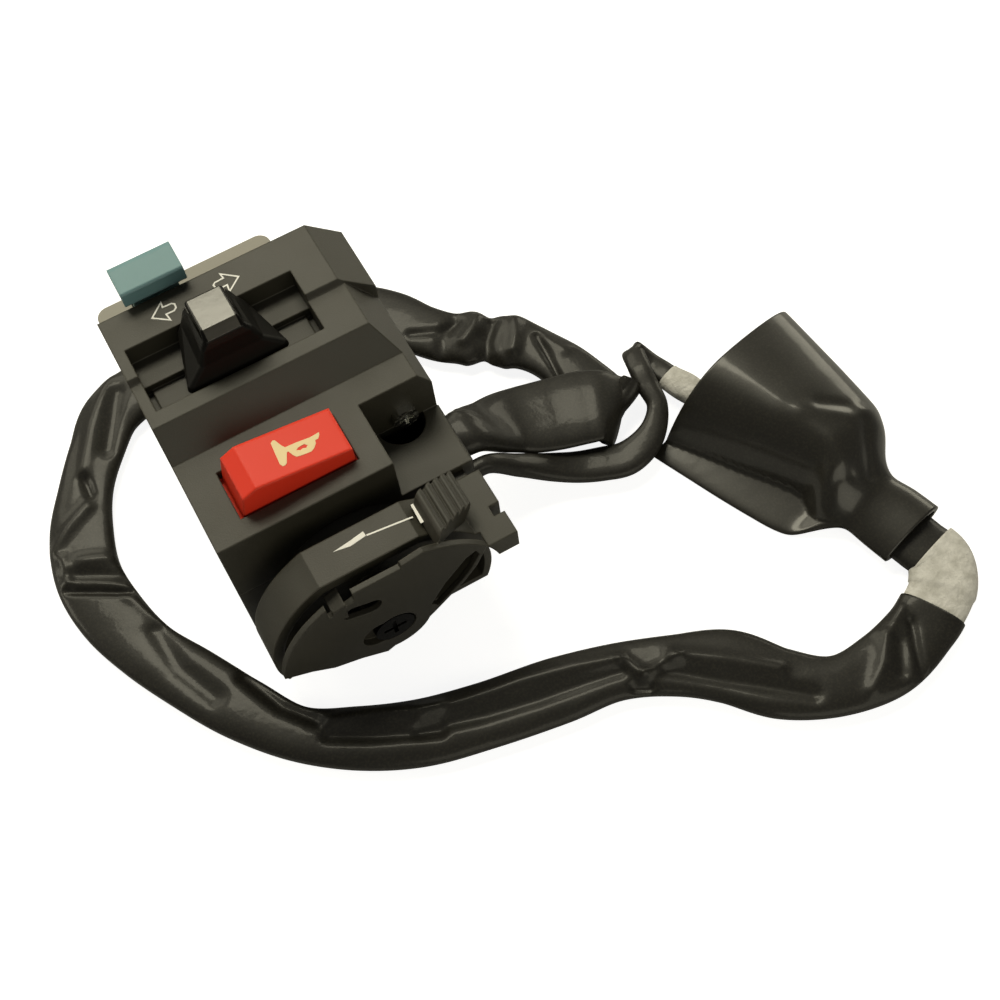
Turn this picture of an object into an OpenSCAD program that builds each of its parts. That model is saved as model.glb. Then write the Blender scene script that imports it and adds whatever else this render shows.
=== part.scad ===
// Left-hand handlebar switch cluster: turn slider, horn button, pass lever and choke lever
// in a two-piece housing, with its sleeved wiring and covered connectors.
// X runs along the handlebar, Y up the face, Z out of the face; the origin is the bar's centre.

/* [Bar clamp] */
// Diameter of the handlebar tube that the two halves close on
bar_d = 22.2; // [20:0.1:25.4]
// Width of the housing along the bar
body_w = 54; // [52:1:64]
// Plastic between the bar and the switch space in front of it
saddle_t = 2.5; // [2:0.1:3.5]
// Plastic between the bar and the flat back
rear_t = 7.9; // [7.5:0.1:12]
// Wall of the moulded shells
wall = 2.2; // [1.8:0.1:2.6]

/* [Face tiers] */
// Top edge of the face beyond the bar's surface
top_over = 6.9; // [6.5:0.1:9]
// Length of the top tier down the face
top_len = 15.9; // [15:0.1:18]
// Length of the second tier
second_len = 11.9; // [11:0.1:16]
// Length of the slope from the second tier to the horn tier
slope_len = 5.9; // [4:0.1:9]
// Length of the horn tier
horn_len = 21.9; // [20:0.1:28]
// Step from the top tier down to the second
tier_step = 1.4; // [0.8:0.1:2]
// Drop from the top tier to the horn tier
horn_drop = 7.5; // [6.5:0.1:8.5]
// Width of the right-hand chamfer of the top tier
chamfer_w = 7.3; // [4:0.1:8]
// Depth of that chamfer
chamfer_h = 7.5; // [4:0.1:9]
// Width of the low ledge beside the horn tier
ledge_w = 16; // [14:0.5:17]
// Length of that ledge
ledge_len = 15.4; // [13:0.1:18]
// Height of the ledge in front of the bar's axis
ledge_z = 6; // [5:0.1:8]

/* [Turn switch] */
// Length of the slot that the knob slides in
slot_l = 36.9; // [36:0.1:40]
// Height of the slot
slot_h = 15.4; // [14.5:0.1:16]
// Left wall of the housing to the slot
slot_inset = 2.4; // [2.2:0.1:4]
// Top edge of the face to the slot
slot_top = 8.9; // [8:0.1:10]
// Depth of the slot's upper floor below the face
slot_depth = 5; // [4:0.1:6]
// Drop from the upper floor to the lower one
slot_step = 1.6; // [1:0.1:2]
// Thickness of the slot's lower floor
floor_t = 1.8; // [1.6:0.1:2.5]
// Height of the switch space below the floor
switch_h = 5; // [5:0.1:7]
// Travel of the knob to each side
turn_travel = 5; // [3:0.5:5]
// Travel of the knob when it is pressed to cancel
push_travel = 1.2; // [0.5:0.1:1.3]
// Length of the knob's foot along its lower edge
knob_l = 22.2; // [19:0.1:22.4]
// Length of the foot along its upper edge
knob_top_l = 15.5; // [12:0.1:17]
// Rise of the crown above the top tier
knob_rise = 9; // [6:0.1:12]
// Length of the crown
crown_l = 7.8; // [6:0.1:10]
// Height of the crown up the face
crown_w = 8.1; // [6:0.1:9]

/* [Horn button] */
// Length of the button
horn_l = 24.6; // [20:0.1:26]
// Height of the button up the face
horn_w = 10.8; // [9:0.1:12]
// Rise of its right end above the tier
horn_rise = 3.6; // [3:0.1:5]
// Further rise of its left end
horn_tilt = 3; // [0:0.1:4]
// Travel of the button
horn_travel = 2; // [1.5:0.1:2.4]

/* [Pass lever] */
// Width of the finger pad
pad_l = 13.8; // [11:0.1:16]
// Reach of the pad beyond the face
pad_reach = 8.6; // [8:0.1:10]
// Rise of the pad above the top tier
pad_rise = 5; // [4.2:0.1:7]
// Width of the grey switch block behind the pad
pass_block_l = 39.6; // [36:0.1:44]
// Depth of that block beyond the face
pass_block_w = 9.3; // [9:0.1:11]

/* [Choke lever] */
// How much narrower the choke drum is than the housing
drum_inset = 4.4; // [3:0.1:8]
// Depth of the drum's axis behind the bar's axis
drum_drop = 6; // [5:0.1:7]
// Length of the neck between the housing and the drum
neck_len = 6.3; // [5:0.1:8]
// Length of the drum's guard
guard_len = 8.8; // [8:0.1:11]
// Wall of the guard
guard_t = 2.5; // [2:0.1:3]
// Height of the guard's flat top above the drum's axis
guard_top = 22.4; // [21:0.1:24]
// Thickness of the lever at its hub
lever_t = 2.8; // [2.6:0.1:3.6]
// Thickness of the lever's plate
plate_t = 1.3; // [1:0.1:2]
// Diameter of the pivot screw's shoulder
pivot_d = 5; // [4:0.1:6]
// Thickness of the thumb tab
tab_t = 2.6; // [2:0.1:3.2]
// Number of ribs on the thumb tab
tab_ribs = 5; // [3:1:6]

/* [Harness] */
// Length of the connector boot
boot_l = 53.4; // [50:0.1:58]
// Width of the boot's mouth
boot_w = 44.4; // [42:0.1:50]
// Height of the boot's mouth
boot_h = 16; // [15:0.5:20]
// Wall of the boot
boot_t = 1.4; // [1:0.1:2]

/* [Fits] */
// Gap between pieces that slide on flat faces
slide_gap = 0.3; // [0.2:0.05:0.4]
// Radial gap between a pin and its hole
pin_gap = 0.05; // [0.02:0.01:0.09]

/* [Hidden] */
$fn = 64;
eps = 0.01;
// How far a cutting solid reaches past what it cuts
past = 20;

bar_r = bar_d/2;
left = -body_w/2;
right = body_w/2;
back_z = -(bar_r + rear_t);

// Levels up from the bar's axis
saddle_z = bar_r + saddle_t;
under_z = saddle_z + switch_h;
lower_z = under_z + floor_t;
floor_z = lower_z + slot_step;
face_z = floor_z + slot_depth;
second_z = face_z - tier_step;
horn_z = face_z - horn_drop;

// Lines down the face
top_y = bar_r + top_over;
step_y = top_y - top_len;
second_y = step_y - second_len;
tier_y = second_y - slope_len;
bottom_y = tier_y - horn_len;
ledge_y = bottom_y + ledge_len;
ledge_x = right - ledge_w;

// Second chamfer, set a little further out than the top tier's
chamfer2_w = chamfer_w - 0.9;
chamfer2_h = chamfer_h + 3.1;

// Turn switch
slot_x0 = left + slot_inset;
slot_x1 = slot_x0 + slot_l;
slot_x = (slot_x0 + slot_x1)/2;
slot_y1 = top_y - slot_top;
slot_y0 = slot_y1 - slot_h;
riser_y = slot_y0 + 0.56*slot_h;
groove_w = 1.2;
groove_z = lower_z - 0.9;
stem_l = 3;
stem_w = 3.6;
stem_y = (riser_y + slot_y1)/2;
switch_y0 = slot_y0 - 1.2;
switch_y1 = top_y - wall;
switch_x0 = left + wall;
switch_x1 = right - 6.6;
base_t = 1.8;
rail_w = 1.8;
plate_z = saddle_z + base_t;
carrier_z0 = plate_z + 0.2;
carrier_z1 = under_z - slide_gap;
carrier_y0 = switch_y0 + 2*slide_gap + rail_w;
carrier_y1 = switch_y1 - 2*slide_gap - rail_w;
carrier_l = 2*(stem_l/2 + 2*turn_travel + 1.5*slide_gap);
stem_z0 = carrier_z0 + 0.5 + push_travel + 0.1;
contact_t = 0.5;
contact_y = [carrier_y0 + 1.6, stem_y - stem_w/2 - 1.4];
wiper_t = 0.6;
ball_r = 0.8;
ball_y = stem_y + stem_w/2 + 2.6;
ball_z = plate_z + ball_r + 0.05;

// Horn button
horn_x0 = left + 7.6;
horn_x1 = horn_x0 + horn_l;
horn_x = (horn_x0 + horn_x1)/2;
horn_y0 = bottom_y + 4.9;
horn_y1 = horn_y0 + horn_w;
horn_y = (horn_y0 + horn_y1)/2;
pocket_gap = 0.5;
flange = 1.4;
flange_t = 2;
horn_under = horn_z - 2.5;
flange_z1 = horn_under - 0.1;
flange_z0 = flange_z1 - flange_t;
horn_base_z = 6;
horn_base_t = 2;
horn_plate_z = horn_base_z + horn_base_t;
plunger_r = 3;
plunger_z0 = horn_base_z - 0.5;
horn_bridge_t = 0.8;
horn_leg = 8.4;

// Pass lever
pad_x0 = left + 6.6;
pad_x1 = pad_x0 + pad_l;
pad_x = (pad_x0 + pad_x1)/2;
pad_y0 = top_y - 0.2;
pad_y1 = pad_y0 + pad_reach;
pad_z1 = face_z + pad_rise;
pad_z0 = face_z + 1.2;
pass_y1 = top_y + pass_block_w;
pass_x0 = left + 0.5;
pass_x1 = pass_x0 + pass_block_l;
pass_z0 = 1;
pass_z1 = face_z - 8;
pass_pin_r = 1.5;
pass_pin_y = top_y + 4.5;
pass_pin_z = pass_z0 + 8;
pass_slot_y = [top_y + 1, pass_y1 - 1.2];
stalk_l = pad_l - 3.6;
stalk_t = 4.4;
pass_spring_r = 1.8;
pass_spring_z = pass_pin_z + 5;

// Choke
drum_r = (body_w - drum_inset)/2;
drum_x = left + drum_r - 0.1;
drum_z = -drum_drop;
drum_flat = back_z + 4;
neck_r = drum_r - 9;
guard_y1 = bottom_y - neck_len;
guard_y0 = guard_y1 - guard_len;
boss_r = 4.5;
boss_y = guard_y0 - 1.1;
washer_t = 0.4;
lever_y1 = boss_y - washer_t - 0.1;
lever_y0 = lever_y1 - lever_t;
lever_r = drum_r - 0.4;
hub_r = 8.2;
shoulder_r = pivot_d/2;
head_r = pivot_d/2 + 1.8;
head_t = 1.5;
tab_a0 = 33;
tab_a1 = 60;
tab_r0 = drum_r + 0.4;
tab_r1 = tab_r0 + tab_t;
tab_y1 = bottom_y - 2.4;
tab_lean = 30;
rib_r = 0.9;
bracket_x = right + 0.2;
bracket_y0 = guard_y0 - 3.7;
bracket_z1 = 5.6;
notch_y = guard_y1 - 4.7;
notch_w = 2.4;

// Screws
screw_r = 1.5;
screw_head_r = 2.8;
screw_at = [[left + 7, top_y - 3], [right - 7, top_y - 3], [right - 9, tier_y + 0.4]];
screw_deep = 6;
lock_x = right - 7.5;
lock_z = ledge_z + 3.2;
lock_r = 2;
lock_head_r = 2.8;

// Grommet
grommet_y = [bottom_y + 1.6, bottom_y + 17];
grommet_z = [-8.5, 3.2];
grommet_out = 0.8;

// Boot, lying on the table with its mouth away from the sleeve
boot_at = [101.4, -89.7];
boot_turn = 15;
boot_floor = back_z;
function in_boot(x, y) = [boot_at[0] + x*cos(boot_turn) - y*sin(boot_turn),
  boot_at[1] + x*sin(boot_turn) + y*cos(boot_turn)];

// Harness: each point is [x, y, z, half width, half thickness]
floor_pt = -16.6;
exit_x = right + grommet_out;
main_route = [
  [exit_x, -26.4, -2.5, 5.2, 3], [exit_x + 3.2, -26.4, -2.5, 5.6, 2.9], [36.5, -25.4, -7.5, 7.2, 2.6],
  [42, -25, -10.6, 8.3, 2.2], [50.5, -27.2, -11.6, 9.1, 2], [57.5, -29.2, -11.7, 9.2, 1.9],
  [61.6, -31, -11.9, 8.8, 1.7], [64.2, -32.8, -14.2, 8, 1.4],
  [63.4, -28.2, -16.8, 7.4, 1.7], [62.2, -21.5, -16.8, 6.6, 2], [60.6, -15, floor_pt, 6, 2.2],
  [58.2, -9.6, floor_pt, 5.7, 2.2], [55, -4.8, floor_pt, 6.2, 2.2], [51, -1, floor_pt, 6.7, 2.2],
  [46.4, 2.4, floor_pt, 6.6, 2.2], [41.5, 5.8, floor_pt, 6.6, 2.2], [37.3, 10.8, floor_pt, 6.5, 2.2],
  [33, 17.5, floor_pt, 6.8, 2.2], [27, 23.5, floor_pt, 6.8, 2.2], [17, 28, floor_pt, 6.8, 2.2],
  [3, 30.3, floor_pt, 6.8, 2.2], [-12, 31, floor_pt, 7, 2.2], [-24, 30.6, floor_pt, 7, 2.3],
  [-33.7, 27.6, floor_pt, 7, 2.3], [-40, 20.7, floor_pt, 6.4, 2.3], [-46, 12.6, floor_pt, 6.2, 2.3],
  [-50.9, 3.2, floor_pt, 7, 2.3], [-53.6, -8, floor_pt, 7.2, 2.3], [-52.6, -19, floor_pt, 7.2, 2.3],
  [-49.3, -29.9, floor_pt, 6.7, 2.3], [-43.5, -41, floor_pt, 6.9, 2.3], [-36.9, -52.6, floor_pt, 6.7, 2.3],
  [-29.2, -63.2, floor_pt, 5.8, 2.3], [-19.2, -70.1, floor_pt, 6.7, 2.3], [-8.3, -75.3, floor_pt, 7.2, 2.3],
  [5.4, -79, floor_pt, 7.2, 2.3], [21, -81.9, floor_pt, 7.2, 2.3], [33, -84.4, floor_pt, 6.2, 2.3],
  [43.7, -89, floor_pt, 6.6, 2.3], [53.1, -94.8, floor_pt, 8, 2.3], [60.3, -103.3, floor_pt, 7.6, 2.3],
  [69.7, -109.4, floor_pt, 6.4, 2.3], [80.5, -110.4, floor_pt, 7.2, 2.3], [90.2, -107.9, floor_pt, 7, 2.3],
  [95.2, -105.6, floor_pt, 6.6, 2.3]];
main_fold = 7;
// Tape, and the short tail that runs square into the boot's collar
tape_route = [[100.6, -101.8, floor_pt, 6.5, 2.4], [103.2, -96.8, floor_pt, 6.3, 2.3]];
tail_route = [concat(in_boot(0, -2.6), [floor_pt, 6.3, 2.3]),
  concat(in_boot(0, -0.05), [floor_pt, 6.4, 2.3])];
harness_route = concat(main_route, tape_route, tail_route);
main_end = len(main_route) - 1;
tape_end = main_end + len(tape_route);
branch_route = [
  [exit_x, -34.2, -5, 1.8, 2.2], [exit_x + 3.2, -34.2, -5, 1.9, 2], [38, -35.4, -10, 2.7, 1.8],
  [44.4, -37.5, -13.6, 3.4, 1.6], [50, -39.8, -15.2, 3.8, 1.5], [55, -41.7, -15.5, 4.1, 1.5],
  [60, -43.2, -15.5, 4.1, 1.5], [65.6, -42.2, -15, 3.5, 1.5], [69.8, -39.4, -14.4, 2.7, 1.5],
  [72.3, -35.8, -13.8, 2.3, 1.5], [72.8, -31, -13.2, 2.5, 1.4], [73.6, -26, -12.8, 2.6, 1.3],
  [75, -21.4, -14.2, 2.6, 1.2],
  [77.2, -25, -16.2, 2.7, 1.4], [78.2, -28, -16.2, 2.9, 1.6], [79, -30.3, -16.2, 2.9, 1.8]];
branch_fold = 12;
// Tape that runs square into the back of the branch's plug
plug_x = -2.5;
plug_y = 43.5;
plug_z = -14.1;
branch_tape_route = [[80.3, -34, -15.6, 3.2, 2.1], [82.4, -39.5, -15, 2.8, 2],
  concat(in_boot(plug_x, plug_y + 3), [plug_z, 2.4, 1.8]),
  concat(in_boot(plug_x, plug_y + 0.05), [plug_z, 2.4, 1.8])];
branch_all = concat(branch_route, branch_tape_route);
branch_end = len(branch_route) - 1;
sleeve_sides = 12;

// Along the boot: [share of its length, left and right seam as shares of the mouth's width,
// right seam's height and top's height as shares of the boot's height, how far the oval has become a dome,
// the dome's foot and shoulder across the boot]
boot_shape = [[0, -0.189, 0.189, 0.25, 0.5, 0, -0.3, -0.1], [0.12, -0.189, 0.185, 0.25, 0.5, 0, -0.3, -0.1],
  [0.215, -0.18, 0.158, 0.26, 0.52, 0, -0.3, -0.1], [0.28, -0.259, 0.198, 0.3, 0.63, 0.2, -0.3, -0.1],
  [0.345, -0.365, 0.302, 0.34, 0.81, 0.6, -0.32, -0.12], [0.43, -0.4, 0.368, 0.38, 0.94, 1, -0.36, -0.16],
  [0.55, -0.426, 0.392, 0.41, 0.97, 1, -0.46, -0.26], [0.675, -0.45, 0.415, 0.44, 1, 1, -0.56, -0.36],
  [0.84, -0.476, 0.444, 0.47, 1, 1, -0.66, -0.33], [1, -0.502, 0.472, 0.5, 1, 1, -0.76, -0.26]];
boot_solid = 0.4;
boot_sides = 32;
boot_lip = 0.9;
socket_w = 11.8;
socket_h = 7.4;
socket_l = 17;
socket_t = 1.4;
branch_socket = [6.2, 5.2, 12];
branch_x = plug_x - branch_socket[0]/2;
branch_y0 = plug_y - branch_socket[2];
blade_w = 2;
blade_t = 0.8;
branch_blade_w = 1.4;

// Helpers

function about(c, h) = [c - h, c + h];
function over(c, a, b) = [c + a, c + b];

module block(x, y, z)
  translate([x[0], y[0], z[0]]) cube([x[1] - x[0], y[1] - y[0], z[1] - z[0]]);

module along_x(x0, x1)
  translate([x0, 0, 0]) rotate([90, 0, 90]) linear_extrude(x1 - x0) children();

module along_y(y0, y1)
  translate([0, y1, 0]) rotate([90, 0, 0]) linear_extrude(y1 - y0) children();

module rounded(x, y, r) {
  translate([x[0] + r, y[0]]) square([x[1] - x[0] - 2*r, y[1] - y[0]]);
  translate([x[0], y[0] + r]) square([x[1] - x[0], y[1] - y[0] - 2*r]);
  for (i = [x[0] + r, x[1] - r], j = [y[0] + r, y[1] - r])
    translate([i, j]) circle(r);
}

module slot2d(a, b, r) {
  run = b - a;
  translate(a) circle(r);
  translate(b) circle(r);
  translate(a) rotate(atan2(run[1], run[0])) translate([0, -r]) square([norm(run), 2*r]);
}

module pie(r, a0, a1) {
  m = (a0 + a1)/2;
  intersection() {
    circle(r);
    polygon([[0, 0], 3*r*[cos(a0), sin(a0)], 3*r*[cos(m), sin(m)], 3*r*[cos(a1), sin(a1)]]);
  }
}

// Sweeps a flat tube along a route; past the fold the tube lies on its other side
function unit(v) = v/norm(v);
function tangent(p, i) = unit([for (k = [0:2]) p[min(i + 1, len(p) - 1)][k] - p[max(i - 1, 0)][k]]);
function plan_side(p, i, f) = let (t = tangent(p, i)) unit([t[1], -t[0], 0])*(i < f ? 1 : -1);
function side(p, i, f) = i == f ? unit(plan_side(p, i - 1, f) + plan_side(p, i + 1, f)) : plan_side(p, i, f);
function lift(p, i, f) = unit(cross(side(p, i, f), i == f ? unit([0, 0, -1]) : tangent(p, i)));
function flat_ring(p, i, f, n) = [for (k = [0:n - 1])
  [p[i][0], p[i][1], p[i][2]] + p[i][3]*cos(360*k/n)*side(p, i, f) + p[i][4]*sin(360*k/n)*lift(p, i, f)];
function skin(rings, n) = concat(
  [[for (k = [n - 1:-1:0]) k]],
  [for (i = [0:rings - 2], k = [0:n - 1]) each [
    [i*n + k, i*n + (k + 1)%n, (i + 1)*n + (k + 1)%n],
    [i*n + k, (i + 1)*n + (k + 1)%n, (i + 1)*n + k]]],
  [[for (k = [0:n - 1]) (rings - 1)*n + k]]);

module flat_tube(route, fold, first, last, n = sleeve_sides)
  polyhedron([for (i = [first:last]) each flat_ring(route, i, fold, n)], skin(last - first + 1, n));

// Front housing

module tier_side()
  polygon([[top_y, 0], [top_y, face_z], [step_y, face_z], [step_y - 0.6, second_z], [second_y, second_z],
    [tier_y, horn_z], [bottom_y, horn_z], [bottom_y, 0]]);

module right_chamfer(y0, y1, w, h, z)
  along_y(y0, y1)
    polygon([[right - w, z], [right - w, z + past], [right + past, z + past],
      [right + past, z - h*(w + past)/w]]);

module tiers() {
  difference() {
    along_x(left, right) tier_side();
    right_chamfer(step_y - 0.3, top_y + past, chamfer_w, chamfer_h, face_z);
    right_chamfer(bottom_y - past, step_y - 0.3, chamfer2_w, chamfer2_h, second_z);
    block([ledge_x, right + past], [bottom_y - past, ledge_y], [ledge_z, face_z + past]);
  }
}

module at_drum() translate([drum_x, 0, drum_z]) children();

// Round outline with a flat at the top, and one at the back of the housing
module drum2d(r, top)
  intersection() {
    circle(r);
    translate([-past*2, drum_flat - drum_z]) square([past*4, top - drum_flat + drum_z]);
  }

module drum() {
  at_drum() along_y(guard_y1, bottom_y) drum2d(neck_r, guard_top);
  at_drum() along_y(guard_y1 - wall, guard_y1 + eps) drum2d(drum_r, guard_top);
  at_drum() along_y(guard_y0, guard_y1) difference() {
    intersection() {
      drum2d(drum_r, guard_top);
      pie(drum_r + past, 12, 199);
    }
    drum2d(drum_r - guard_t, guard_top - guard_t);
  }
  at_drum() along_y(boss_y, guard_y1) circle(boss_r);
  cable_bracket();
}

module cable_bracket()
  difference() {
    union() {
      block([right - 9, bracket_x], [bracket_y0, bottom_y - 2.4], [0, bracket_z1]);
      block([right - 9, bracket_x - 2.4], [bracket_y0, bottom_y], [0, bracket_z1 - 1.6]);
    }
    at_drum() along_y(bracket_y0 - 1, guard_y0) circle(tab_r0 + 0.4);
    at_drum() along_y(guard_y0 - 1, guard_y1 - wall) circle(drum_r - guard_t);
    block([bracket_x - 2.4, bracket_x + 1], [notch_y - notch_w, notch_y], [-1, past]);
  }

module front_cavities() {
  along_x(left - past, right + past) circle(bar_r);
  // Switch space above the bar
  block([switch_x0, switch_x1], [switch_y0, switch_y1], [saddle_z, under_z]);
  // Slot for the knob: upper floor, lower floor with a groove at each end, and the stem's window
  block([slot_x0, slot_x1], [riser_y, slot_y1], [floor_z, face_z + past]);
  block([slot_x0, slot_x1], [slot_y0, riser_y + eps], [lower_z, face_z + past]);
  for (x = [slot_x0, slot_x1 - groove_w])
    block([x, x + groove_w], [slot_y0, riser_y], [groove_z, face_z]);
  block(about(slot_x, stem_l/2 + turn_travel + slide_gap), about(stem_y, stem_w/2 + slide_gap),
    [under_z - eps, face_z]);
  // Horn space, open at the back, and the button's pocket
  block([left + wall, ledge_x - wall], [bottom_y + wall, -saddle_z], [-eps, horn_under]);
  block([horn_x0 - pocket_gap, horn_x1 + pocket_gap], [horn_y0 - pocket_gap, horn_y1 + pocket_gap],
    [0, horn_z + past]);
  // Wire channel under the ledge to the grommet, and up to the switch space
  block([ledge_x - wall - eps, right - wall], [bottom_y + wall, bottom_y + 17.6], [-eps, ledge_z - wall]);
  block([switch_x1 - 14, switch_x1 - 9], [-saddle_z - 3, switch_y0 + eps], [saddle_z, horn_under]);
  // Half-round pocket below the lock screw
  translate([lock_x - 1, ledge_y, ledge_z - 4]) cylinder(r = 5.2, h = 4 + eps);
  grommet_hole();
  lock_hole();
  screw_holes();
}

module grommet_hole()
  block([right - wall - past, right + past], grommet_y, grommet_z);

module lock_hole()
  translate([lock_x, 0, lock_z]) along_y(ledge_y - 1, 0) circle(lock_r + 0.1);

module screw_holes()
  for (p = screw_at)
    translate([p[0], p[1], back_z - 1]) cylinder(r = screw_r + 0.1, h = screw_deep - back_z + 1);

module front_housing()
  color("#2b2a26") difference() {
    tiers();
    front_cavities();
  }

// Neck, drum, guard ring and cable bracket, welded to the flat near end of both halves' front
module choke_drum()
  color("#2b2a26") difference() {
    drum();
    at_drum() along_y(boss_y - 1, boss_y + screw_deep) circle(screw_r + 0.1);
  }

// Rear housing

rear_slope_y = -2;
rear_top_z = -5;
rear_toe = 3.6;

module rear_side()
  polygon([[top_y, 0], [top_y, rear_top_z], [rear_slope_y, back_z], [bottom_y + rear_toe, back_z],
    [bottom_y, back_z + rear_toe], [bottom_y, 0]]);

module rear_housing()
  color("#34332f") difference() {
    along_x(left, right) rear_side();
    along_x(left - past, right + past) circle(bar_r);
    // Wiring space behind the horn switch, with two ribs left for the horn's base
    difference() {
      block([left + wall, right - wall], [bottom_y + wall, -saddle_z], [back_z + wall + 1.2, eps]);
      block([left + wall, left + 2*wall + 0.2], [horn_y0, horn_y1], [back_z, 0]);
      block([ledge_x - 2*wall - 0.2, ledge_x - wall], [horn_y0, horn_y1], [back_z, 0]);
      translate([screw_at[2][0], screw_at[2][1], back_z]) cylinder(r = screw_head_r + 1.4, h = -back_z);
    }
    block([right - wall - 1.1, right + past], grommet_y, grommet_z);
    screw_holes();
    for (p = screw_at)
      translate([p[0], p[1], back_z - past]) cylinder(r = screw_head_r + 0.3, h = past - back_z - 5.5);
  }

module housing_screws()
  color("#b8b8b4") for (p = screw_at) translate([p[0], p[1], -5.5]) {
    cylinder(r = screw_r, h = 5.5 + screw_deep - 0.5);
    difference() {
      translate([0, 0, -1.8]) cylinder(r = screw_head_r, h = 1.8);
      for (a = [0, 90]) rotate(a) translate([-1.6, -0.3, -2]) cube([3.2, 0.6, 1]);
    }
  }

module lock_screw()
  color("#c9c8c2") translate([lock_x, 0, lock_z]) {
    along_y(ledge_y - eps, -sqrt(bar_r*bar_r - pow(lock_z - lock_r, 2)) - 0.3) circle(lock_r);
    difference() {
      along_y(ledge_y - 1.8, ledge_y) circle(lock_head_r);
      for (a = [0, 90]) along_y(ledge_y - 2, ledge_y - 1) rotate(a) square([3.4, 0.7], center = true);
    }
  }

// Turn switch

knob_z0 = floor_z + push_travel + 2*slide_gap;
knob_z1 = face_z + knob_rise;
knob_y0 = slot_y0 + 0.8;
knob_y1 = slot_y1 - 0.4;
crown_y1 = knob_y1 - 2.1;
crown_y0 = crown_y1 - crown_w;

// Sections of the knob: [height, lower edge, upper edge, half length below, half length above, corner]
knob_rings = [
  [knob_z0, knob_y0, knob_y1, knob_l/2 - 0.5, knob_top_l/2 - 0.5, 0.8],
  [knob_z0 + 0.6, knob_y0, knob_y1, knob_l/2, knob_top_l/2, 1],
  [knob_z0 + 2, knob_y0, knob_y1, knob_l/2 - 0.3, knob_top_l/2 - 0.1, 1],
  [knob_z0 + 0.45*(knob_z1 - knob_z0), knob_y0 + 1, knob_y1 - 0.6, knob_l/2 - 4.2, knob_top_l/2 - 1.5, 1],
  [knob_z0 + 0.75*(knob_z1 - knob_z0), knob_y0 + 1.5, knob_y1 - 1.2, crown_l/2 + 1.7, crown_l/2 + 1.2, 0.9],
  [knob_z1 - 1.5, crown_y0 - 2, crown_y1 + 0.4, crown_l/2 + 0.5, crown_l/2 + 0.4, 0.8],
  [knob_z1 - 0.4, crown_y0 - 0.6, crown_y1 + 0.3, crown_l/2 + 0.2, crown_l/2 + 0.2, 0.7],
  [knob_z1, crown_y0, crown_y1, crown_l/2, crown_l/2, 0.6]];
corner_steps = 4;
function knob_corner(x, y, r, a, z) = [for (k = [0:corner_steps])
  [slot_x - x - r*cos(a + 90*k/corner_steps), y + r*sin(a + 90*k/corner_steps), z]];
function knob_ring(q) = let (r = q[5]) concat(
  knob_corner(q[3] - r, q[1] + r, r, 270, q[0]), knob_corner(q[4] - r, q[2] - r, r, 0, q[0]),
  knob_corner(r - q[4], q[2] - r, r, 90, q[0]), knob_corner(r - q[3], q[1] + r, r, 180, q[0]));

module turn_knob()
  color("#16150f") {
    polyhedron([for (q = knob_rings) each knob_ring(q)], skin(len(knob_rings), 4*(corner_steps + 1)));
    block(about(slot_x, stem_l/2), about(stem_y, stem_w/2), [stem_z0, knob_z0 + 1]);
  }

module turn_carrier()
  color("#8d8a7c") difference() {
    block(about(slot_x, carrier_l/2), [carrier_y0, carrier_y1], [carrier_z0, carrier_z1]);
    block(about(slot_x, stem_l/2 + slide_gap/2), about(stem_y, stem_w/2 + slide_gap/2),
      [carrier_z0 + 0.5, carrier_z1 + 1]);
    block(about(slot_x, 7), contact_y, [carrier_z0 - 1, carrier_z0 + wiper_t]);
    translate([slot_x, ball_y, carrier_z0 - 1]) cylinder(r = ball_r + 0.1, h = 1 + carrier_z1 - carrier_z0 - 0.5);
  }

// Pushes the knob back up: a plain hidden spring under the stem
module cancel_spring()
  color("#c0c0bc") translate([slot_x, stem_y, carrier_z0 + 0.5]) difference() {
    cylinder(r = stem_l/2 - 0.1, h = push_travel + 0.1);
    translate([0, 0, -1]) cylinder(r = stem_l/2 - 0.6, h = push_travel + 3);
  }

module contact_rows(grow)
  for (i = [-1, 0, 1])
    block(about(slot_x + i*(turn_travel + 3), 2.2 + grow), [contact_y[0] + 0.6 - grow, contact_y[1] - 0.6 + grow],
      [plate_z - contact_t, plate_z + 10*grow]);

module turn_base()
  color("#6d4a2c") difference() {
    union() {
      block([switch_x0 + slide_gap, switch_x1 - slide_gap], [switch_y0 + slide_gap, switch_y1 - slide_gap],
        [saddle_z, plate_z]);
      for (y = [switch_y0 + slide_gap, switch_y1 - slide_gap - rail_w])
        block([switch_x0 + slide_gap, switch_x1 - slide_gap], [y, y + rail_w], [saddle_z, under_z]);
    }
    contact_rows(0.05);
  }

module turn_contacts()
  color("#c79a4a") contact_rows(0);

module turn_wiper()
  color("#d2a758") {
    block(about(slot_x, 6.9), [contact_y[0] + 0.1, contact_y[1] - 0.1], [carrier_z0, carrier_z0 + wiper_t]);
    for (i = [-1, 1])
      block(about(slot_x + i*4, 0.8), [contact_y[0] + 1, contact_y[1] - 1], [plate_z + 0.06, carrier_z0 + eps]);
  }

module detent_ball()
  color("#d9d9d6") translate([slot_x, ball_y, ball_z]) sphere(ball_r);

module detent_spring()
  color("#c0c0bc") translate([slot_x, ball_y, ball_z + ball_r]) difference() {
    cylinder(r = ball_r - 0.1, h = carrier_z1 - 0.5 - ball_z - ball_r);
    translate([0, 0, -1]) cylinder(r = ball_r - 0.4, h = switch_h);
  }

// Horn

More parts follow.
